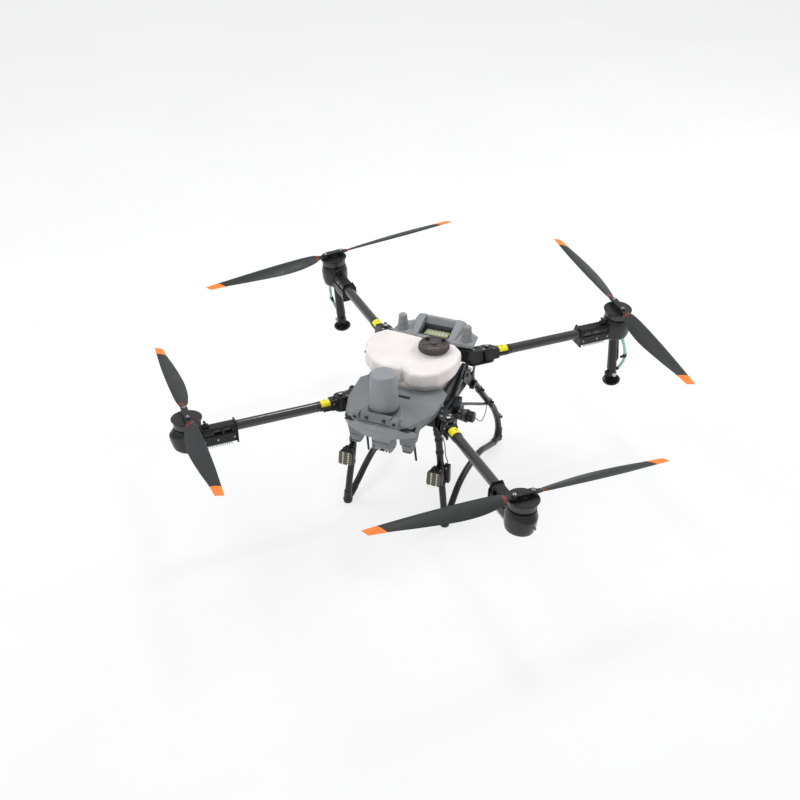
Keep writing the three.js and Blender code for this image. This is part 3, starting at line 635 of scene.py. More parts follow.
def add_latch(name, place, fold, hand):
    lever = rounded(hull([
        (40, -42, -10), (40, -42, 10), (40, -35.5, -10), (40, -35.5, 10),
        (92, -42, -7), (92, -42, 7), (92, -37, -7), (92, -37, 7), (84, -41.5, -10), (84, -41.5, 10),
    ]), 1.6)
    ribs = [slab((52 + 8 * i, -43.6, -7), (55 + 8 * i, -41, 7), 0.7) for i in range(5)]
    pivot = rod((40, -32, -12.5), (40, -32, 12.5), 7.5)
    finger = slab((85, -46, -8), (92, -38, 8), 1.5)
    piece(f"{name}_latch_lever", [
        (join(lever, pivot, finger, *ribs), BLACK),
        (hex_bolt((40, -32, 12.5), (0, 0, 1), 3, 2.5), STEEL),
    ], f"{place}_latch", [f"{name}_latch"], fold @ hand)


# ---------- motor pod and rotor ----------

def pod_ring(z, radius, nose, count=12):
    ring = []
    for i in range(count):
        angle = 2 * pi * (i + 0.5) / count
        stretch = max(0, cos(angle)) ** 2 * (nose - radius)
        ring.append(((radius + stretch) * cos(angle), radius * sin(angle), z))
    return ring


def add_pod(name, place, motor):
    body = rounded(loft([pod_ring(-138, 46, 48, 36), pod_ring(-128, 55, 61, 36), pod_ring(-104, 60, 70, 36),
                         pod_ring(-66, 61.5, 77, 36), pod_ring(-58, 60, 74, 36), pod_ring(-40, 54, 57, 36)]), 2, 2, 22)
    lip = lathe([(0, -41), (53, -41), (55, -39.5), (53, -38.4), (50, -39), (0, -39)])
    tray = rounded(hull([(x, y, z) for x in (-188, -34) for y, z in
                         ((-29, -132), (29, -132), (-31, -98), (31, -98), (-24, -137), (24, -137))]), 2.5)
    outline = [(-27, -100), (-27, -72), (-20, -61), (-10, -59), (10, -59), (20, -61), (27, -72), (27, -100)]
    windows = [slab((x0, -40, -90), (x1, 40, -69), 0) for x0, x1 in ((-172, -140), (-129, -96))]
    sleeve = carved(rounded(hull([(x, y, z) for x in (-190, -44) for y, z in outline]), 1.5), *windows)
    sill = [slab((-186, side * 28.5 - 2.5, -101), (-50, side * 28.5 + 2.5, -93), 1) for side in (-1, 1)]
    plate = rounded(hull([(x, y, z) for x in (-194, -188) for y, z in
                          ((-34, -142), (34, -142), (-36, -84), (36, -84), (-22, -52), (22, -52))]), 1.5)
    bracket = join(slab((-84, -9, -60), (-58, 9, -47), 2), rod((-70, -14, -42), (-70, 14, -42), 5.5),
                   slab((-74, -3, -50), (-66, 3, -38), 1))
    fins = [slab((-168 + 9 * i, -23, -149), (-165 + 9 * i, 23, -134), 0.6) for i in range(12)]
    screws = [hex_bolt((x, side * 31, -112), (0, side, 0), 2.6, 2) for x in (-178, -110, -56) for side in (-1, 1)]
    port = moved(lathe([(0, 0), (6, 0), (6, 2), (4, 3), (0, 3)], 20), along((66, 26, -96), (80, 40, -96)))
    piece(f"{name}_pod", [
        (body, POD_BLACK),
        (lip, DEEP_BLACK_AND_SHADE),
        (join(tray, sleeve, *sill, plate), BLACK),
        (join(bracket, port), BLACK),
        (join(slab((-170, -25, -139), (-66, 25, -133), 1), *fins), FIN_GREY),
        (join(*screws), STEEL),
    ], f"{place}_arm", [f"{name}_motor_pod"], motor)


def stadium(z0, z1, radius, half_length):
    rings = [ring for z in (z0, z1) for x in (-half_length, half_length)
             for ring in oval(x, 0, z, radius, radius, 2, 32)]
    return rounded(hull(rings), 1.2, 2, 40)


def add_rotor(name, place, rotor):
    bell = lathe([
        (0, -60), (7, -60), (7, -37.5), (50, -37.5), (52.5, -36), (53, -34), (54, -33), (54, -17),
        (54, -8), (53, -6), (56, -4), (60, -3.5), (62, -2), (62, 1.6), (60.6, 3), (34, 4.2), (0, 4.6),
    ], 72)
    hub = rounded(lathe([(0, 2), (17, 2), (17, 9), (15, 11), (15, 22), (0, 22)], 8), 1)
    clamp = join(stadium(5, 10, 14.5, BLADE_PIN), stadium(23, 27, 14, BLADE_PIN), slab((-20, -11, 9), (20, 11, 24)))
    band = lathe([(54, -31), (54.8, -30), (54.8, -9), (54, -8), (53, -8), (53, -31), (54, -31)], 72)
    pins = [hex_bolt((x, 0, 27), (0, 0, 1), 5.2, 5) for x in (-BLADE_PIN, BLADE_PIN)]
    shafts = [rod((x, 0, 4), (x, 0, 27), 5, sides=16) for x in (-BLADE_PIN, BLADE_PIN)]
    spacers = [rod((x, y, 9), (x, y, 24), 4, sides=12) for x in (-24, 24) for y in (-7, 7)]
    piece(f"{name}_rotor_hub", [
        (bell, DISC_BLACK),
        (band, BELL_GREY),
        (join(hub, clamp, *spacers), FRAME_BLACK),
        (join(*pins, *shafts), STEEL),
    ], f"{place}_rotor", [f"{name}_rotor"], rotor)


STATIONS = [  # radius, chord, leading edge ahead of the pin line, pitch in degrees
    (58, 22, 11, 8), (76, 32, 16, 15), (96, 48, 22, 20), (140, 62, 25.5, 21), (194, 72, 27, 20), (290, 76, 28, 16),
    (437, 61, 26, 11), (543, 43, 22, 8.5), (600, 35.5, 19.5, 7.4), (635, 29, 17, 7),
]


def station(radius):
    """Chord, lead and pitch at a radius, on a smooth curve through the stations."""
    k = max(i for i, row in enumerate(STATIONS[:-1]) if row[0] <= max(radius, STATIONS[0][0]))
    rows = [STATIONS[min(max(k + d, 0), len(STATIONS) - 1)] for d in (-1, 0, 1, 2)]
    t = (radius - rows[1][0]) / (rows[2][0] - rows[1][0])
    result = []
    for column in (1, 2, 3):
        a, b, c, d = [row[column] for row in rows]
        span = rows[2][0] - rows[1][0]
        start = (c - a) / max(rows[2][0] - rows[0][0], 1) * span
        end = (d - b) / max(rows[3][0] - rows[1][0], 1) * span
        result.append(b * (2 * t ** 3 - 3 * t * t + 1) + start * (t ** 3 - 2 * t * t + t)
                      + c * (3 * t * t - 2 * t ** 3) + end * (t ** 3 - t * t))
    return result


def section(radius, slant, count=11):
    """An aerofoil ring: leading edge towards -Y, trailing edge nearer the hub by the slant."""
    thick = 0.145 - 0.07 * (radius - 58) / 577
    ring = []
    for surface in (1, -1):
        order = range(count) if surface == 1 else range(count - 2, 0, -1)
        for i in order:
            u = (1 - cos(pi * i / (count - 1))) / 2
            at = radius - slant * u
            chord, lead, pitch = station(at)
            pitch = radians(pitch)
            half = 5 * thick * chord * (0.2969 * u ** 0.5 - 0.126 * u - 0.3516 * u * u + 0.2843 * u ** 3 - 0.1 * u ** 4)
            half = max(half, 0.55 if 0 < i < count - 1 else 0)
            camber = 0.035 * chord * 4 * u * (1 - u)
            up = camber + surface * half
            across = lead - u * chord
            ring.append((at - BLADE_PIN, -(across * cos(pitch) - up * sin(pitch)),
                         BLADE_PLANE + across * sin(pitch) + up * cos(pitch)))
    return ring


def blade_stretch(rows):
    return loft([section(radius, slant) for radius, slant in rows])


def add_blade(name, place, letter, blade):
    ear = lathe([(5.4, -4.6), (12, -4.6), (13, -3.6), (13, 3.6), (12, 4.6), (5.4, 4.6), (5.4, -4.6)], 32)
    root = rounded(hull([(x, y, BLADE_PLANE + z) for x, w, h in ((6, 11, 4.4), (24, 9, 4), (34, 11, 2.6))
                         for y in (-w, w) for z in (-h, h)]), 1.6, 3)
    inner = [(62, 0), (68, 0), (73, 0)]
    band = [(73, 0), (80, 0), (88, 0)]
    middle = [(88, 0)] + [(r, 0) for r in range(100, 440, 20)] + [(r, 24 * (r - 420) / 155) for r in
                                                                  (440, 460, 480, 500, 520, 540, 560)] + [(575, 24)]
    tip = [(575, 24), (590, 22), (605, 20), (620, 17), (630, 15), (635, 14)]
    piece(f"{name}_blade_{letter}_skin", [
        (shifted(ear, z=BLADE_PLANE), BLADE),
        (root, BLADE),
        (blade_stretch(inner), BLADE),
        (blade_stretch(band), BLADE_BAND),
        (blade_stretch(middle), BLADE),
        (blade_stretch(tip), BLADE_TIP),
    ], f"{place}_blade_{letter}", [f"{name}_blade_{letter}"], blade, sharp=50)


# ---------- sprinkler ----------

def octagon(z, radius):
    return [(radius * cos(a), radius * sin(a), z) for a in [2 * pi * (i + 0.5) / 8 for i in range(8)]]


HOSE_ROUTE = [
    (33, -23, -4), (34, -24, -14), (38, -26, -40), (47, -25, -80), (54, -20, -125), (54, -11, -165), (46, -4, -192),
    (34.6, 0, -212),
]


def add_sprinkler(side, motor):
    axis = joint_axis("left_spray_disc_spin")
    top = joint_point("left_spray_disc_spin") + axis * DISC_DROP
    out = joint_point("rear_left_spin")
    out.z = 0
    out.normalize()
    placed = frame_at(top, out - axis * out.dot(axis), axis)
    if side == "right":
        placed = MIRROR @ placed
    column = rounded(loft([octagon(-200, 22.5), octagon(-110, 20.5), octagon(-20, 19)]), 1.6)
    head = rounded(loft([octagon(-27, 20), octagon(-16, 27), octagon(-1, 27)]), 2)
    foot = rounded(loft([octagon(-250, 15), octagon(-244, 18), octagon(-232, 24), octagon(-212, 22),
                         octagon(-198, 17)]), 2)
    collar = lathe([(0, -262), (9, -262), (9, -252), (15, -250), (15, -240), (0, -240)], 24)
    rib = rounded(hull([(x, y, z) for y in (-2.5, 2.5) for x, z in
                        ((12, -196), (12, -30), (30, -44), (33, -150))]), 1)
    lug = join(slab((-34, -4, -232), (-16, 4, -204), 1.5), rod((-28, -7, -218), (-28, 7, -218), 6))
    inlet = join(rod((16, 0, -214), (34, 0, -212.5), 8), rod((33, 0, -212.6), (37, 0, -212.3), 7))
    knob = rod((0, -20, -222), (0, -31, -222), 9, 8)
    body = f"rear_{side}_arm"
    piece(f"{side}_sprinkler_column", [
        (join(column, head, foot, collar), BLACK),
        (join(rib, lug, inlet), FRAME_BLACK),
        (knob, FIN_GREY),
    ], body, [f"{side}_sprinkler"], placed)
    clip = rod((53.5, -22, -118), (54.5, -17, -142), 9, 8, sides=16)
    piece(f"{side}_feed_hose", [
        (tube(HOSE_ROUTE, 6.6, 20, 8), HOSE),
        (join(clip, slab((30, -26, -134), (52, -16, -126), 1.5)), BLACK),
    ], body, [f"{side}_spray_hose"], placed)
    low = -262
    disc = lathe([
        (0, low - 26), (12, low - 26), (20, low - 24), (30, low - 20), (37, low - 14), (40.4, low - 9), (41, low - 6),
        (40, low - 4.6), (38, low - 4), (31, low - 7), (24, low - 9), (12, low - 12), (8, low - 10), (8, low - 0.5),
        (0, low - 0.5),
    ], 64)
    teeth = [moved(slab((12, -0.7, low - 13), (37.5, 0.7, low - 5.5), 0.3, 1), Matrix.Rotation(2 * pi * i / 24, 4, "Z"))
             for i in range(24)]
    piece(f"{side}_atomising_disc", [(disc, BLACK), (join(*teeth), FRAME_BLACK)],
          f"{side}_spray_disc", [f"{side}_spray_disc"], placed)


def add_arms():
    for place, hand_side in (("front", 1), ("rear", -1)):
        for side in ("left", "right"):
            name = f"{place}_{side}"
            fold, motor = arm_frames(place, side)
            reach = hypot(*(motor.to_translation() - fold.to_translation()).xy)
            hand = Matrix.Diagonal((1, hand_side, 1, 1))
            add_arm(name, name, fold, hand, reach)
            add_latch(name, name, fold, hand)
            add_pod(name, name, motor)
            pin = joint_point(f"{place}_left_blade_a_fold")
            hub = joint_point(f"{place}_left_spin")
            rotor = frame_at(hub, pin - hub - joint_axis(f"{place}_left_spin") * (pin - hub).dot(
                joint_axis(f"{place}_left_spin")), joint_axis(f"{place}_left_spin"))
            if side == "right":
                rotor = MIRROR @ rotor
            add_rotor(name, name, rotor)
            for letter, turn in (("a", 0), ("b", pi)):
                blade = rotor @ Matrix.Rotation(turn, 4, "Z") @ Matrix.Translation((BLADE_PIN, 0, 0)) @ hand
                add_blade(name, name, letter, blade)
            if place == "rear":
                add_sprinkler(side, motor)


# ---------- nose ----------

def tank_forms(grow=0):
    """The lobes and the base of the tank, drawn out by grow all round."""
    forms = []
    for outline, top in TANK_LOBES:
        middle = sum((Vector(p) for p in outline), Vector((0, 0))) / len(outline)
        levels = [(604 - grow, 0.8), (632, 1), (662, 1), (top - 6 + grow, 0.97), (top + grow, 0.87)]
        ring = []
        for z, size in levels:
            for p in outline:
                arm = Vector(p) - middle
                place = middle + arm * size + arm.normalized() * grow
                ring.append((place.x, place.y, z))
        forms.append(hull(ring))
    levels = [(454 - grow, 120, 112), (480 - grow, 148, 138), (620 + grow, 156, 146)]
    forms.append(hull([p for z, rx, ry in levels for p in oval(0, 5, z, rx + grow, ry + grow, 3.4)]))
    return forms


def add_front_cover():
    skin = hull(both_sides([
        (158, -368, 559), (158, -366, 557), (122, -398, 588), (44, -434, 562), (44, -430, 594),
        (188, -259, 583), (188, -250, 557), (193, -129, 598), (185, -106, 590), (176, -100, 557),
        (161, -93, 600), (136, -84, 600), (70, -404, 604), (72, -270, 610),
    ]))
    skin = rounded(skin, 3, 3, 12)
    pad = rounded(hull(both_sides([
        (76, -390, 608), (91, -377, 608), (75, -325, 610), (51, -274, 612), (18, -258, 613),
        (88, -404, 592), (106, -380, 592), (90, -322, 594), (62, -262, 596), (22, -240, 597),
    ])), 3, 3, 20)
    seat = lathe([(0, 590), (72, 590), (68, 606), (65, 608), (0, 608)])
    shelf = hull([(x, y, z) for x in (-102, 102) for y in (-470, -398) for z in (594.4, 670)])
    underside = hull([(x, y, z) for x in (-150, 150) for y in (-392, -104) for z in (540, 575)])
    slits = [slab((side * 118 - 22, -420, 574), (side * 118 + 22, -386, 579), 1) for side in (-1, 1)]
    vent = hull([(x, y, z) for x, y in ((-50, -158), (50, -158), (70, -231), (-70, -231)) for z in (600, 640)])
    body = carved(skin, shelf, underside, vent, *slits, *tank_forms(5))
    screws = [hex_bolt((side * 150, -348, 574), (side * 0.5, -0.4, 1), 3.4, 2) for side in (-1, 1)]
    # Near-black bars in the vent and in the two front slits are painted shade standing in for the dark openings.
    vent_slot_shades = [slab((x - 3.2, -229, 604), (x + 3.2, -212, 609), 0.8) for x in range(-63, 64, 9)]
    panel = rounded(hull([(x, y, z) for x, y, z0 in ((-50, -160, 600), (50, -160, 600), (70, -231, 605),
                                                     (-70, -231, 605)) for z in (z0, z0 + 2)]), 0.8)
    lines = [slab((side * 118 - 20, -412, 574.5), (side * 118 + 20, -389, 578.5), 0.5) for side in (-1, 1)]
    piece("nose_cover", [
        (body, SHELL),
        (join(pad, shifted(seat, *DOME)), SHELL),
        (panel, SHELL),
        (join(*vent_slot_shades, *lines), DEEP_BLACK_AND_SHADE),
        (join(*screws), SHELL_DARK_AND_SHADE),
    ], "airframe", ["front_shell"])


def add_lower_cover():
    tray = rounded(hull(both_sides([
        (157, -369, 556.4), (46, -433, 556.4), (150, -302, 556.4), (147, -368, 520), (44, -425, 536),
        (142, -302, 512), (130, -352, 506),
    ])), 5, 3, 12)
    band = rounded(hull(both_sides([
        (44, -436, 588), (70, -422, 588), (124, -401, 566), (149, -378, 561), (155, -370, 553), (150, -369, 530),
        (120, -395, 532), (44, -431, 528), (44, -400, 560), (140, -360, 545),
    ])), 2, 3)
    bumps = []
    for side in (-1, 1):
        upper = [(side * x, y, z) for x, y, z in (
            (80, -374, 522), (146, -369, 522), (80, -306, 522), (144, -304, 522),
            (83, -370, 476), (139, -366, 476), (83, -312, 476), (138, -312, 476))]
        lower = oval(side * 111, -343, 480, 24, 29, 5) + oval(side * 111, -344, 442, 20, 24, 5)
        bumps.append(rounded(hull(upper), 4, 3))
        bumps.append(rounded(hull(lower), 3, 3))
    hood = carved(
        rod((-42, -332, 441), (42, -332, 441), 33, sides=FACETS, edge=2),
        slab((-37.6, -380, 396), (37.6, -290, 446), 0),
        slab((-60, -380, 380), (60, -280, 421), 0),
    )
    neck = rounded(hull(both_sides([
        (41, -376, 530), (41, -310, 530), (41.5, -364, 455), (41.5, -310, 455),
    ])), 2, 3)
    neck = carved(neck, slab((-37.6, -380, 396), (37.6, -290, 470), 0))
    piece("lower_cover", [
        (join(tray, *bumps), SHELL),
        # The front band, chin hood and neck take the lighter grey, which is partly painted highlight.
        (join(band), SHELL_LIGHT_AND_LIT),
        (join(hood, neck), SHELL_LIGHT_AND_LIT),
        (join(*[slab((side * 113 - 16, -369.5, 449), (side * 113 + 16, -366, 452), 0.6) for side in (-1, 1)]),
         DEEP_BLACK_AND_SHADE),
    ], "airframe", ["lower_shell"])


def add_sensors():
    ring = lathe([(0, 560), (37, 560), (39, 604.5), (61, 604.5), (62.5, 607), (62.5, 622), (61, 626), (0, 626)], 72)
    board = join(slab((-26, -6, 620), (26, 6, 742)), slab((-6, -20, 620), (6, 20, 730)))
    piece("radar_seat", [(shifted(ring, *DOME), SHELL_DARK_AND_SHADE), (shifted(board, *DOME), LABEL_GREEN)],
          "airframe", ["radar_base"])
    dome = lathe([
        (57, 626.4), (60, 626.4), (60.3, 630), (60, 636), (57, 700), (54, 762), (53, 767), (51, 771), (47.5, 774),
        (43, 775.6), (30, 776), (0, 776), (0, 773), (43, 773), (51, 764), (57, 634), (57, 626.4),
    ], 96)
    piece("radar_cover", [(shifted(dome, *DOME), DOME_GREY)], "airframe", ["radar_dome"])

    bar = rounded(hull(both_sides([(70, -425, 596.8), (70, -399, 595.6), (64, -419, 629), (64, -402, 630)])), 2, 3)
    face = [rod((side * 37, -417, 611), (side * 37, -427.5, 611), 7, sides=32) for side in (-1, 1)]
    glass = [moved(lathe([(0, 0), (4.6, 0), (4.2, 1), (0, 2)], 24), along((side * 37, -427, 611), (side * 37, -440, 611)))
             for side in (-1, 1)]
    pods, eyes = [], []
    for side in (-1, 1):
        pods.append(slab((side * 83 - 14, -432, 595.5), (side * 83 + 14, -398, 627), 3, 3))
        eyes.append(rod((side * 83, -428, 611), (side * 83, -434, 611), 8, 7, sides=32))
    piece("stereo_bar", [
        (bar, SHELL),
        (join(*pods), SHELL),
        (join(*face, *eyes), BLACK),
        (join(*glass), LENS),
    ], "airframe", ["vision_bar"])

    barrel = rod((-36.8, -330, 430), (36.8, -330, 430), 21.5, sides=FACETS, edge=2)
    pin = rod((-43, -330, 430), (43, -330, 430), 5)
    lens = rod((0, -345, 421), (0, -351.5, 416.5), 8, 7, sides=32)
    glass = rod((0, -351, 417), (0, -352.5, 415.8), 5.5, sides=24, edge=0.4)
    teeth = [slab((13 * i - 3, -343, 406), (13 * i + 3, -318, 414), 1) for i in (-2, -1, 0, 1, 2)]
    # The chin barrel takes the lighter grey, which is partly painted highlight.
    piece("chin_unit", [(barrel, SHELL_LIGHT_AND_LIT), (join(pin, lens, *teeth), BLACK), (glass, LENS)],
          "chin_camera", ["chin_camera"])


# ---------- tank ----------

def add_tank():
    x, y, top = TANK_NECK
    mouth = shifted(lathe([(0, 641), (50.5, 641), (50.5, 720), (0, 720)], 72), x, y)
    skin = blended(tank_forms(), 4.5, 7, [mouth])
    neck = shifted(lathe([(0, 660), (76, 676), (70, 683), (66, 687), (64, top), (50, top), (50, 640), (0, 640)], 72), x, y)
    clips = [join(slab((-224, py - 5, 640), (-216, py + 5, 652), 1.5), rod((-219, py, 646), (-226, py, 648), 3.5))
             for py in (-4, 44)]
    piece("tank_skin", [(skin, TANK), (neck, TANK), (join(*clips), BLACK)], "tank", ["tank"])


def add_cap():
    x, y, top = TANK_NECK
    low = top + 3.4
    wall = [(0, low), (62, low), (63.5, low + 2), (64, low + 16), (63.5, low + 20), (61, low + 24), (58, low + 25),
            (54.5, low + 24), (52.5, low + 21), (50, low + 20.5), (22, low + 21.5), (0, low + 22)]
    body = lathe(wall, 96)
    ribs = [moved(slab((61.5, -1.6, low + 2), (65.6, 1.6, low + 18), 0.8), Matrix.Rotation(2 * pi * i / 36, 4, "Z"))
            for i in range(36)]
    spokes = [moved(slab((18, -0.9, low + 21), (50, 0.9, low + 22.6), 0.4, 1), Matrix.Rotation(radians(a), 4, "Z"))
              for a in (20, 75, 160, 215, 330)]
    knob = lathe([(0, low + 20), (15, low + 20), (14.5, low + 25), (13, low + 28), (6, low + 29), (4, low + 27),
                  (0, low + 27)], 36)
    collar = lathe([(19, low + 21), (21, low + 23), (23, low + 21), (19, low + 21)], 48)
    tab = rounded(hull([(px, py, pz) for px, py in ((-22, -50), (26, -47), (24, -34), (-20, -37))
                        for pz in (low + 20, low + 25)]), 2)
    tab = moved(tab, Matrix.Rotation(radians(18), 4, "Z"))
    latches = [
        join(slab((-44, 18, low + 20), (-30, 32, low + 30), 2), rod((-46, 25, low + 28), (-28, 25, low + 28), 3.5)),
        join(slab((22, 28, low + 20), (32, 46, low + 32), 2), rod((20, 37, low + 30), (34, 37, low + 30), 3.5)),
    ]
    parts = [(join(body, *ribs, *spokes), CAP), (join(knob, collar), CAP), (tab, CAP_TAB), (join(*latches), BLACK)]
    piece("filler_cap", [(shifted(shape, x, y), material) for shape, material in parts], "cap", ["tank_cap"])


# ---------- rear cover ----------

def add_rear_cover():
    bar = rounded(hull(both_sides([
        (72, 302, 640), (72, 302, 660), (72, 318, 686), (72, 330, 689), (72, 344, 672), (72, 344, 606), (72, 306, 606),
    ])), 3, 3, 15)
    ribs, wings = [], []
    for side in (-1, 1):
        rib = hull([(side * x, y, z) for x, y, z in (
            (70, 196, 640), (70, 201, 655), (70, 306, 692), (70, 330, 693), (70, 350, 672), (70, 350, 604),
            (70, 305, 604), (100, 196, 640), (100, 202, 653), (104, 306, 690), (104, 330, 690), (112, 348, 666),
            (112, 348, 604), (104, 305, 604), (116, 306, 672), (116, 330, 672))])
        ribs.append(rounded(rib, 6, 4, 20))
        wing = hull([(side * x, y, z) for x, y, z in (
            (84, 190, 640), (84, 196, 652), (84, 330, 668), (84, 340, 640), (190, 192, 644), (184, 198, 655),
            (176, 284, 656), (182, 290, 646), (150, 322, 630), (186, 196, 636), (86, 196, 634))])
        wings.append(rounded(wing, 5, 3, 15))
    front_lip = rounded(hull(both_sides([
        (72, 192, 640), (72, 196, 652), (72, 213, 655), (72, 213, 636), (72, 196, 634),
    ])), 2.5, 3)
    # The slot's lips, side walls and back wall take the darker grey as painted shade inside the battery slot.
    lips = [slab((-70, y - 1.5, 652), (70, y + 1.5, 657), 1) for y in (216, 300)]
    inner = [slab((side * 68.5 - 1.5, 214, 600), (side * 68.5 + 1.5, 303, 654), 0.8) for side in (-1, 1)]
    back_wall = slab((-69, 299, 600), (69, 303, 662), 1)
    block = slab((-62, 236, 612), (62, 296, 640), 3)
    label = slab((-54, 244, 639.5), (54, 290, 641), 0.5)
    marks = [slab((-42 + 16 * i, 254, 640.8), (-32 + 16 * i, 276, 641.6), 0.3) for i in range(6)]
    piece("rear_cover", [
        (join(bar, *ribs, *wings, front_lip), SHELL_REAR),
        (join(*lips, *inner, back_wall), SHELL_DARK_AND_SHADE),
        (block, BLACK),
        (label, LABEL_GREEN),
        (join(*marks), LABEL_PALE),
    ], "airframe", ["rear_shell"])
    antenna = lathe([
        (0, 652), (27, 652), (26, 658), (25, 664), (22, 672), (21, 675), (21, 694), (20, 696.5), (18.6, 698),
        (18.5, 716), (17, 720), (14, 723), (8, 724), (0, 724),
    ], 48)
    for side, place in (("left", 148), ("right", -148)):
        piece(f"{side}_antenna_dome", [(shifted(antenna, place, 236), SHELL_REAR)], "airframe",
              [f"{side}_rear_antenna"])


# ---------- frames, rails and pumps ----------

def fork_fittings(place):
    """The bolts on both forks of a frame, and the blocks that close the forks behind the arm knuckles."""
    bolts, blocks = [], []
    for side in ("left", "right"):
        fold = arm_frames(place, side)[0]
        heads = [hex_bolt((x, y, 32), (0, 0, 1), 4.5, 3.5) for x, y in ((-24, -20), (-24, 20), (-62, 0))]
        cap = lathe([(0, 37), (9, 37), (9, 40), (7, 41), (0, 41)], 24)
        bolts.append(moved(join(*heads, cap), fold))
        blocks.append(moved(slab((-52, -24, -25.4), (-30, 24, 25.4)), fold))
    return join(*bolts), join(*blocks)


def add_frames():
    bolts, blocks = fork_fittings("front")
    piece("front_fork_frame", [(cad_copy("front_frame", 2.2), FRAME_BLACK), (blocks, BLACK), (bolts, STEEL)],
          "airframe", ["front_frame"])
    bolts, blocks = fork_fittings("rear")
    gusset = rounded(hull([(x, y, z) for x in (192.5, 198) for y, z in
                           ((210, 598), (92, 598), (60, 562), (118, 520), (160, 472), (206, 472))]), 1.2)
    boss = join(rod((196, 172, 540), (204, 172, 540), 13, 12), rod((196, 112, 560), (204, 112, 560), 9, 8),
                slab((193, 150, 470), (214, 204, 486), 2))
    clamp = join(rod((196, 126, 586), (212, 126, 586), 14, 13), rod((196, 178, 586), (208, 178, 586), 8))
    plates = join(gusset, boss)
    piece("rear_fork_frame", [
        (cad_copy("rear_frame", 2.2), FRAME_BLACK),
        (join(blocks, plates, mirrored(plates)), BLACK),
        (join(bolts, clamp, mirrored(clamp)), STEEL),
    ], "airframe", ["rear_frame"])


def add_rails():
    for side in ("left", "right"):
        turn = (lambda shape: shape) if side == "left" else mirrored
        screws = turn(join(*[hex_bolt((190.3, y, z), (1, 0, 0), 4.5, 3.5) for y, z in ((-130, 513), (60, 562), (128, 594))]))
        wall = turn(rounded(hull([(x, y, z) for x in (162, 175) for y, z in
                                  ((-86, 588), (-86, 500), (20, 472), (172, 472), (172, 577), (140, 598))]), 1.5))
        piece(f"{side}_side_rail", [
            (cad_copy(f"{side}_rail", 1.2), RAIL_METAL),
            (wall, BLACK),
            (screws, STEEL),
        ], "airframe", [f"{side}_rail"])


def add_pumps():
    y, z = -38, 480
    for side in ("left", "right"):
        turn = (lambda shape: shape) if side == "left" else mirrored
        volute = moved(lathe([(0, 0), (31, 0), (33, 3), (33, 30), (30, 34), (20, 36), (0, 36)]),
                       along((190.3, y, z), (230, y, z)))
        cover = rounded(hull([(225 + c, y + a, z + 8 + b) for c, s in ((0, 1), (6, 0.85)) for a, b, _ in
                              oval(0, 0, 0, 25 * s, 18 * s, 2, 32)]), 1.5, 2, 30)
        motor = moved(lathe([(0, 0), (21, 0), (24, 6), (27, 30), (27, 37), (0, 37)]),
                      along((212, y, z - 22), (250, y, z - 22)))
        flange = moved(lathe([(0, 0), (29, 0), (29, 7), (0, 7)], 36), along((249, y, z - 22), (256, y, z - 22)))
        end = moved(lathe([(0, 0), (22, 0), (22, 26), (20, 29), (0, 29)], 36), along((255, y, z - 22), (284, y, z - 22)))
        fins = []
        for i in range(16):
            fin = slab((20.5, -1.4, 3), (23.6, 1.4, 26), 0.5, 1)
            fins.append(moved(fin, along((255, y, z - 22), (284, y, z - 22)) @ Matrix.Rotation(2 * pi * i / 16, 4, "Z")))
        outlet = tube([(210, y + 30, z + 6), (214, 20, 474), (216, 120, 416), (216, 260, 332), (214, 392, 256)], 6.5, 16)
        nut = rod((208, y + 28, z + 5), (208, y + 40, z + 7), 11, sides=6)
        wire = tube([(284, y, z - 22), (300, y + 40, z - 60), (282, y + 150, z - 96), (246, y + 290, z - 140),
                     (216, 370, 272)], 1.8, 8)
        bracket = join(slab((190.4, y - 30, z - 40), (212, y + 52, z + 34), 4), slab((192, y - 62, z - 66), (222, y - 34, z + 6), 3))
        bolts = [hex_bolt((224.4, y + 26 * cos(a), z + 26 * sin(a)), (1, 0, 0), 2.6, 3) for a in
                 (radians(20), radians(100), radians(160), radians(210))]
        piece(f"{side}_liquid_pump", [
            (turn(join(volute, nut, outlet, bracket)), BLACK),
            (turn(cover), SHELL_DARK_AND_SHADE),
            (turn(motor), PUMP_GREY),
            (turn(join(flange, end, *fins)), FRAME_BLACK),
            (turn(wire), RUBBER),
            (turn(join(*bolts)), STEEL),
        ], "airframe", [f"{side}_pump"])


# ---------- landing gear ----------

def ring_clip(point, direction, radius=LEG):
    """A clamp round a leg with a small lug."""
    frame_there = along(point, Vector(point) + Vector(direction))
    band = lathe([(radius, -6), (radius + 2.6, -6), (radius + 2.6, 6), (radius, 6), (radius, -6)], 32)
    lug = slab((radius, -5, -5), (radius + 11, 5, 5), 1.2)
    return moved(join(band, lug), frame_there)


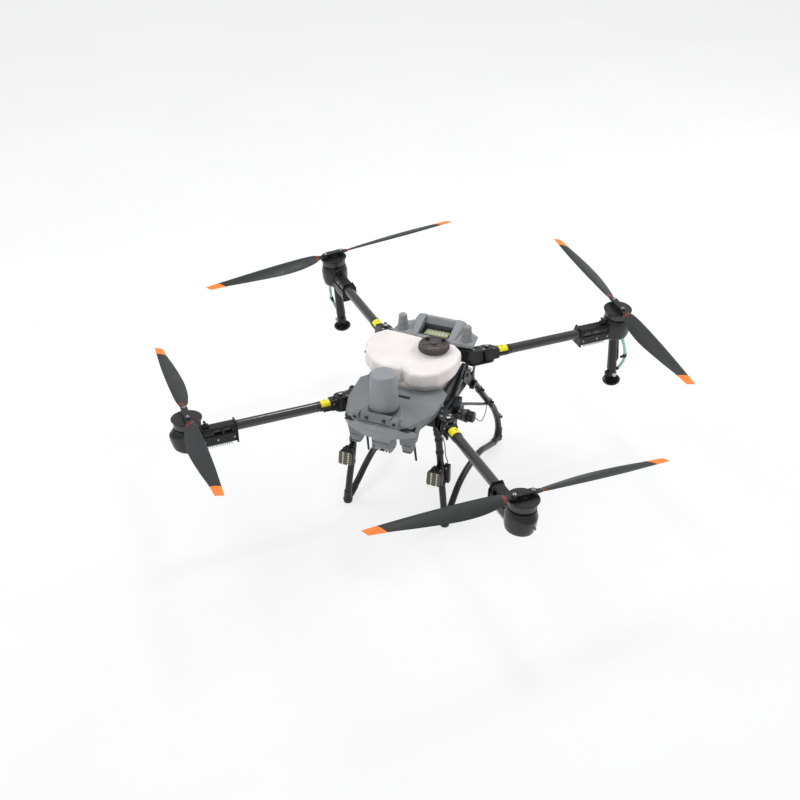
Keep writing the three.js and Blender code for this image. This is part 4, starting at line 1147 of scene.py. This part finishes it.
def add_front_legs():
    x, y = 226, -212
    for side in ("left", "right"):
        turn = (lambda shape: shape) if side == "left" else mirrored
        leg = tube([(185, -206, 472), (193, -205, 380), (201, -204, 265), (216, -210, 128), (x - 1, y, 40)], LEG, 28, 8)
        collar = join(rod((185.5, -206, 455), (185.5, -206, 477.6), 19, sides=36),
                      rod((185.8, -206, 446), (185.6, -206, 455), 16.5, 18.5, sides=36))
        foot = join(rod((x - 2, y, 60), (x, y, 14), 17, 18.5, sides=36), rod((x, y, 0), (x, y, 18), 19, 21, sides=36),
                    rod((x, y, 17), (x - 2, y + 34, 25), 15.5, 16.5, sides=32))
        clips = [ring_clip(point, (0.09, 0, -1)) for point in ((189, -205.5, 426), (194, -205, 366), (206, -206, 216))]
        clamp = join(slab((187, -236, 288), (211, -190, 312), 3), rod((175, -232, 300), (223, -232, 300), 5))
        cable = tube([(203, -196, 440), (211, -192, 400), (214, -190, 350), (222, -186, 318), (222, -184, 296)], 2, 10)
        box = slab((208, -196, 210), (234, -172, 296), 3)
        box_screws = [hex_bolt((221, -196.2, z), (0, -1, 0), 2.2, 1.6) for z in (220, 286)]
        finishes = [
            (turn(leg), LEG_BLACK),
            (turn(join(collar, foot, clamp, *clips)), FRAME_BLACK),
            (turn(cable), RUBBER),
        ]
        if side == "left":
            finishes += [(box, BLACK), (join(*box_screws), STEEL)]
        piece(f"{side}_front_landing_leg", finishes, "airframe", [f"{side}_front_leg"])


SKID_ROUTE = [
    (224, -175.6, 25.6), (221, -108, 50), (219, -30, 82), (220, 60, 99), (222, 160, 98), (224, 250, 86),
    (227, 340, 54), (229, 420, 24), (230, 460.6, 18),
]


def add_rear_legs():
    x, y = 230, 496
    route = [(x, y + 4, 34), (x - 2, 486, 110), (x - 7, 440, 196), (x - 13, 384, 266), (x - 20, 318, 336),
             (x - 28, 244, 424), (190, 190, 498), (188, 178, 555)]
    for side in ("left", "right"):
        turn = (lambda shape: shape) if side == "left" else mirrored
        skid = join(tube(SKID_ROUTE, LEG, 28, 6))
        sleeve = join(rod((224, -175.4, 25.6), (222, -140, 38), 16, sides=32), rod((229, 424, 23), (230, 460.4, 18), 16, sides=32))
        piece(f"{side}_skid_tube", [(turn(skid), LEG_BLACK), (turn(sleeve), FRAME_BLACK)], "airframe", [f"{side}_skid"])
        leg = tube(route, LEG, 28, 8)
        fittings = join(
            rod((x, y, 18), (x, y + 6, 62), 18.5, 16.5, sides=36), rod((x, y, 0), (x, y, 19), 19, 21, sides=36),
            rod((x, y - 33, 17.5), (x, y, 17), 16.5, 15.5, sides=32), rod((188.5, 179, 530), (188.5, 179, 561.6), 17, 19, sides=36),
            *[ring_clip(point, direction) for point, direction in (
                ((215.5, 370, 281), (0, -0.7, 0.72)), ((204, 258, 407), (0, -0.62, 0.78)), ((227, 478, 140), (0, -0.3, 1)))],
        )
        conduit_route = [(p[0] + 13, p[1] - 12, p[2] - 8) for p in route[3:7]]
        conduit = tube(conduit_route, 5, 12)
        ridges = []
        for point, following in zip(smooth_path(conduit_route, 12), smooth_path(conduit_route, 12)[1:]):
            ridges.append(moved(lathe([(0, 0), (6.2, 0), (6.2, 2.4), (0, 2.4)], 14), along(point, following)))
        piece(f"{side}_rear_landing_leg", [
            (turn(leg), LEG_BLACK),
            (turn(fittings), FRAME_BLACK),
            (turn(join(conduit, *ridges)), RUBBER),
        ], "airframe", [f"{side}_rear_leg"])


def add_lamps():
    x, y, z = 199, -232, 300
    for side in ("left", "right"):
        turn = (lambda shape: shape) if side == "left" else mirrored
        outline = [(-26, 12), (26, 12), (33, 2), (33, -44), (27, -52), (-27, -52), (-33, -44), (-33, 2)]
        tilt = Matrix.Translation((x, y - 41, z)) @ Matrix.Rotation(radians(-12), 4, "X")
        housing = moved(rounded(hull([(a, b, c) for b, s in ((-4, 1), (14, 1), (26, 0.78)) for a, c in
                                      [(p * s, -20 + (q + 20) * s) for p, q in outline]]), 2.5, 3), tilt)
        hood = moved(rounded(hull([(a, b, c) for a in (-20, 20) for b, c in
                                   ((-6, 10), (-4, 20), (14, 24), (24, 16), (24, 6))]), 3, 3), tilt)
        face = moved(rounded(hull([(p * 0.9, b, -20 + (q + 20) * 0.9) for b in (-6, -3) for p, q in outline]), 1), tilt)
        diodes = []
        for column in (-12, 12):
            for row in range(6):
                dome = lathe([(0, 0), (3.2, 0), (2.8, 1.2), (1.6, 2), (0, 2.2)], 16)
                diodes.append(moved(dome, tilt @ along((column, -6, -46 + 9.6 * row), (column, -20, -46 + 9.6 * row))))
        ears = []
        for hand in (-1, 1):
            ears.append(rod((x + hand * 15, y, z), (x + hand * 21, y, z), 11, sides=28))
            ears.append(slab((x + hand * 18 - 3, y - 22, z - 11), (x + hand * 18 + 3, y, z + 11), 1.2))
        piece(f"{side}_work_lamp", [
            (turn(join(housing, hood, *ears)), BLACK),
            (turn(face), LAMP_FACE),
            (turn(join(*diodes)), DIODE),
        ], f"{side}_lamp", [f"{side}_lamp"])


def add_antenna_rods():
    for side in ("left", "right"):
        turn = (lambda shape: shape) if side == "left" else mirrored
        rods = join(rod((104, -273, 446), (104, -273, 469.7), 7, 8.5), rod((104, -272, 450), (107, -247, 329), 5.5, 4.5),
                    rod((104.2, -270.5, 438), (104.4, -269, 430), 6.6, sides=20))
        piece(f"{side}_aerial", [(turn(rods), BLACK)], "airframe", [f"{side}_antenna_rod"])


def finish_inner_nodes():
    """The inner CAD bodies stay as they are and only get their materials."""
    for node, material in (("flight_controller", BLACK), ("battery_tray", BLACK), ("tank_strainer", FRAME_BLACK)):
        mesh = frame["nodes"][node].data
        mesh.materials.clear()
        mesh.materials.append(material)


def add_floor():
    mesh = bpy.data.meshes.new("floor")
    shape = lathe([(0, 0), (2000, 0), (9000, 0), (26000, 0)], 64)
    paper = to_bmesh(moved(shape, Matrix.Scale(MM, 4)))
    bmesh.ops.recalc_face_normals(paper, faces=paper.faces)
    paper.to_mesh(mesh)
    paper.free()
    mesh.materials.append(floor_paper())
    floor = bpy.data.objects.new("floor", mesh)
    floor.location.z = -0.0005
    bpy.context.scene.collection.objects.link(floor)


add_camera()
add_lights()
add_floor()
add_arms()
add_front_cover()
add_lower_cover()
add_sensors()
add_tank()
add_cap()
add_rear_cover()
add_frames()
add_rails()
add_pumps()
add_front_legs()
add_rear_legs()
add_lamps()
add_antenna_rods()
finish_inner_nodes()
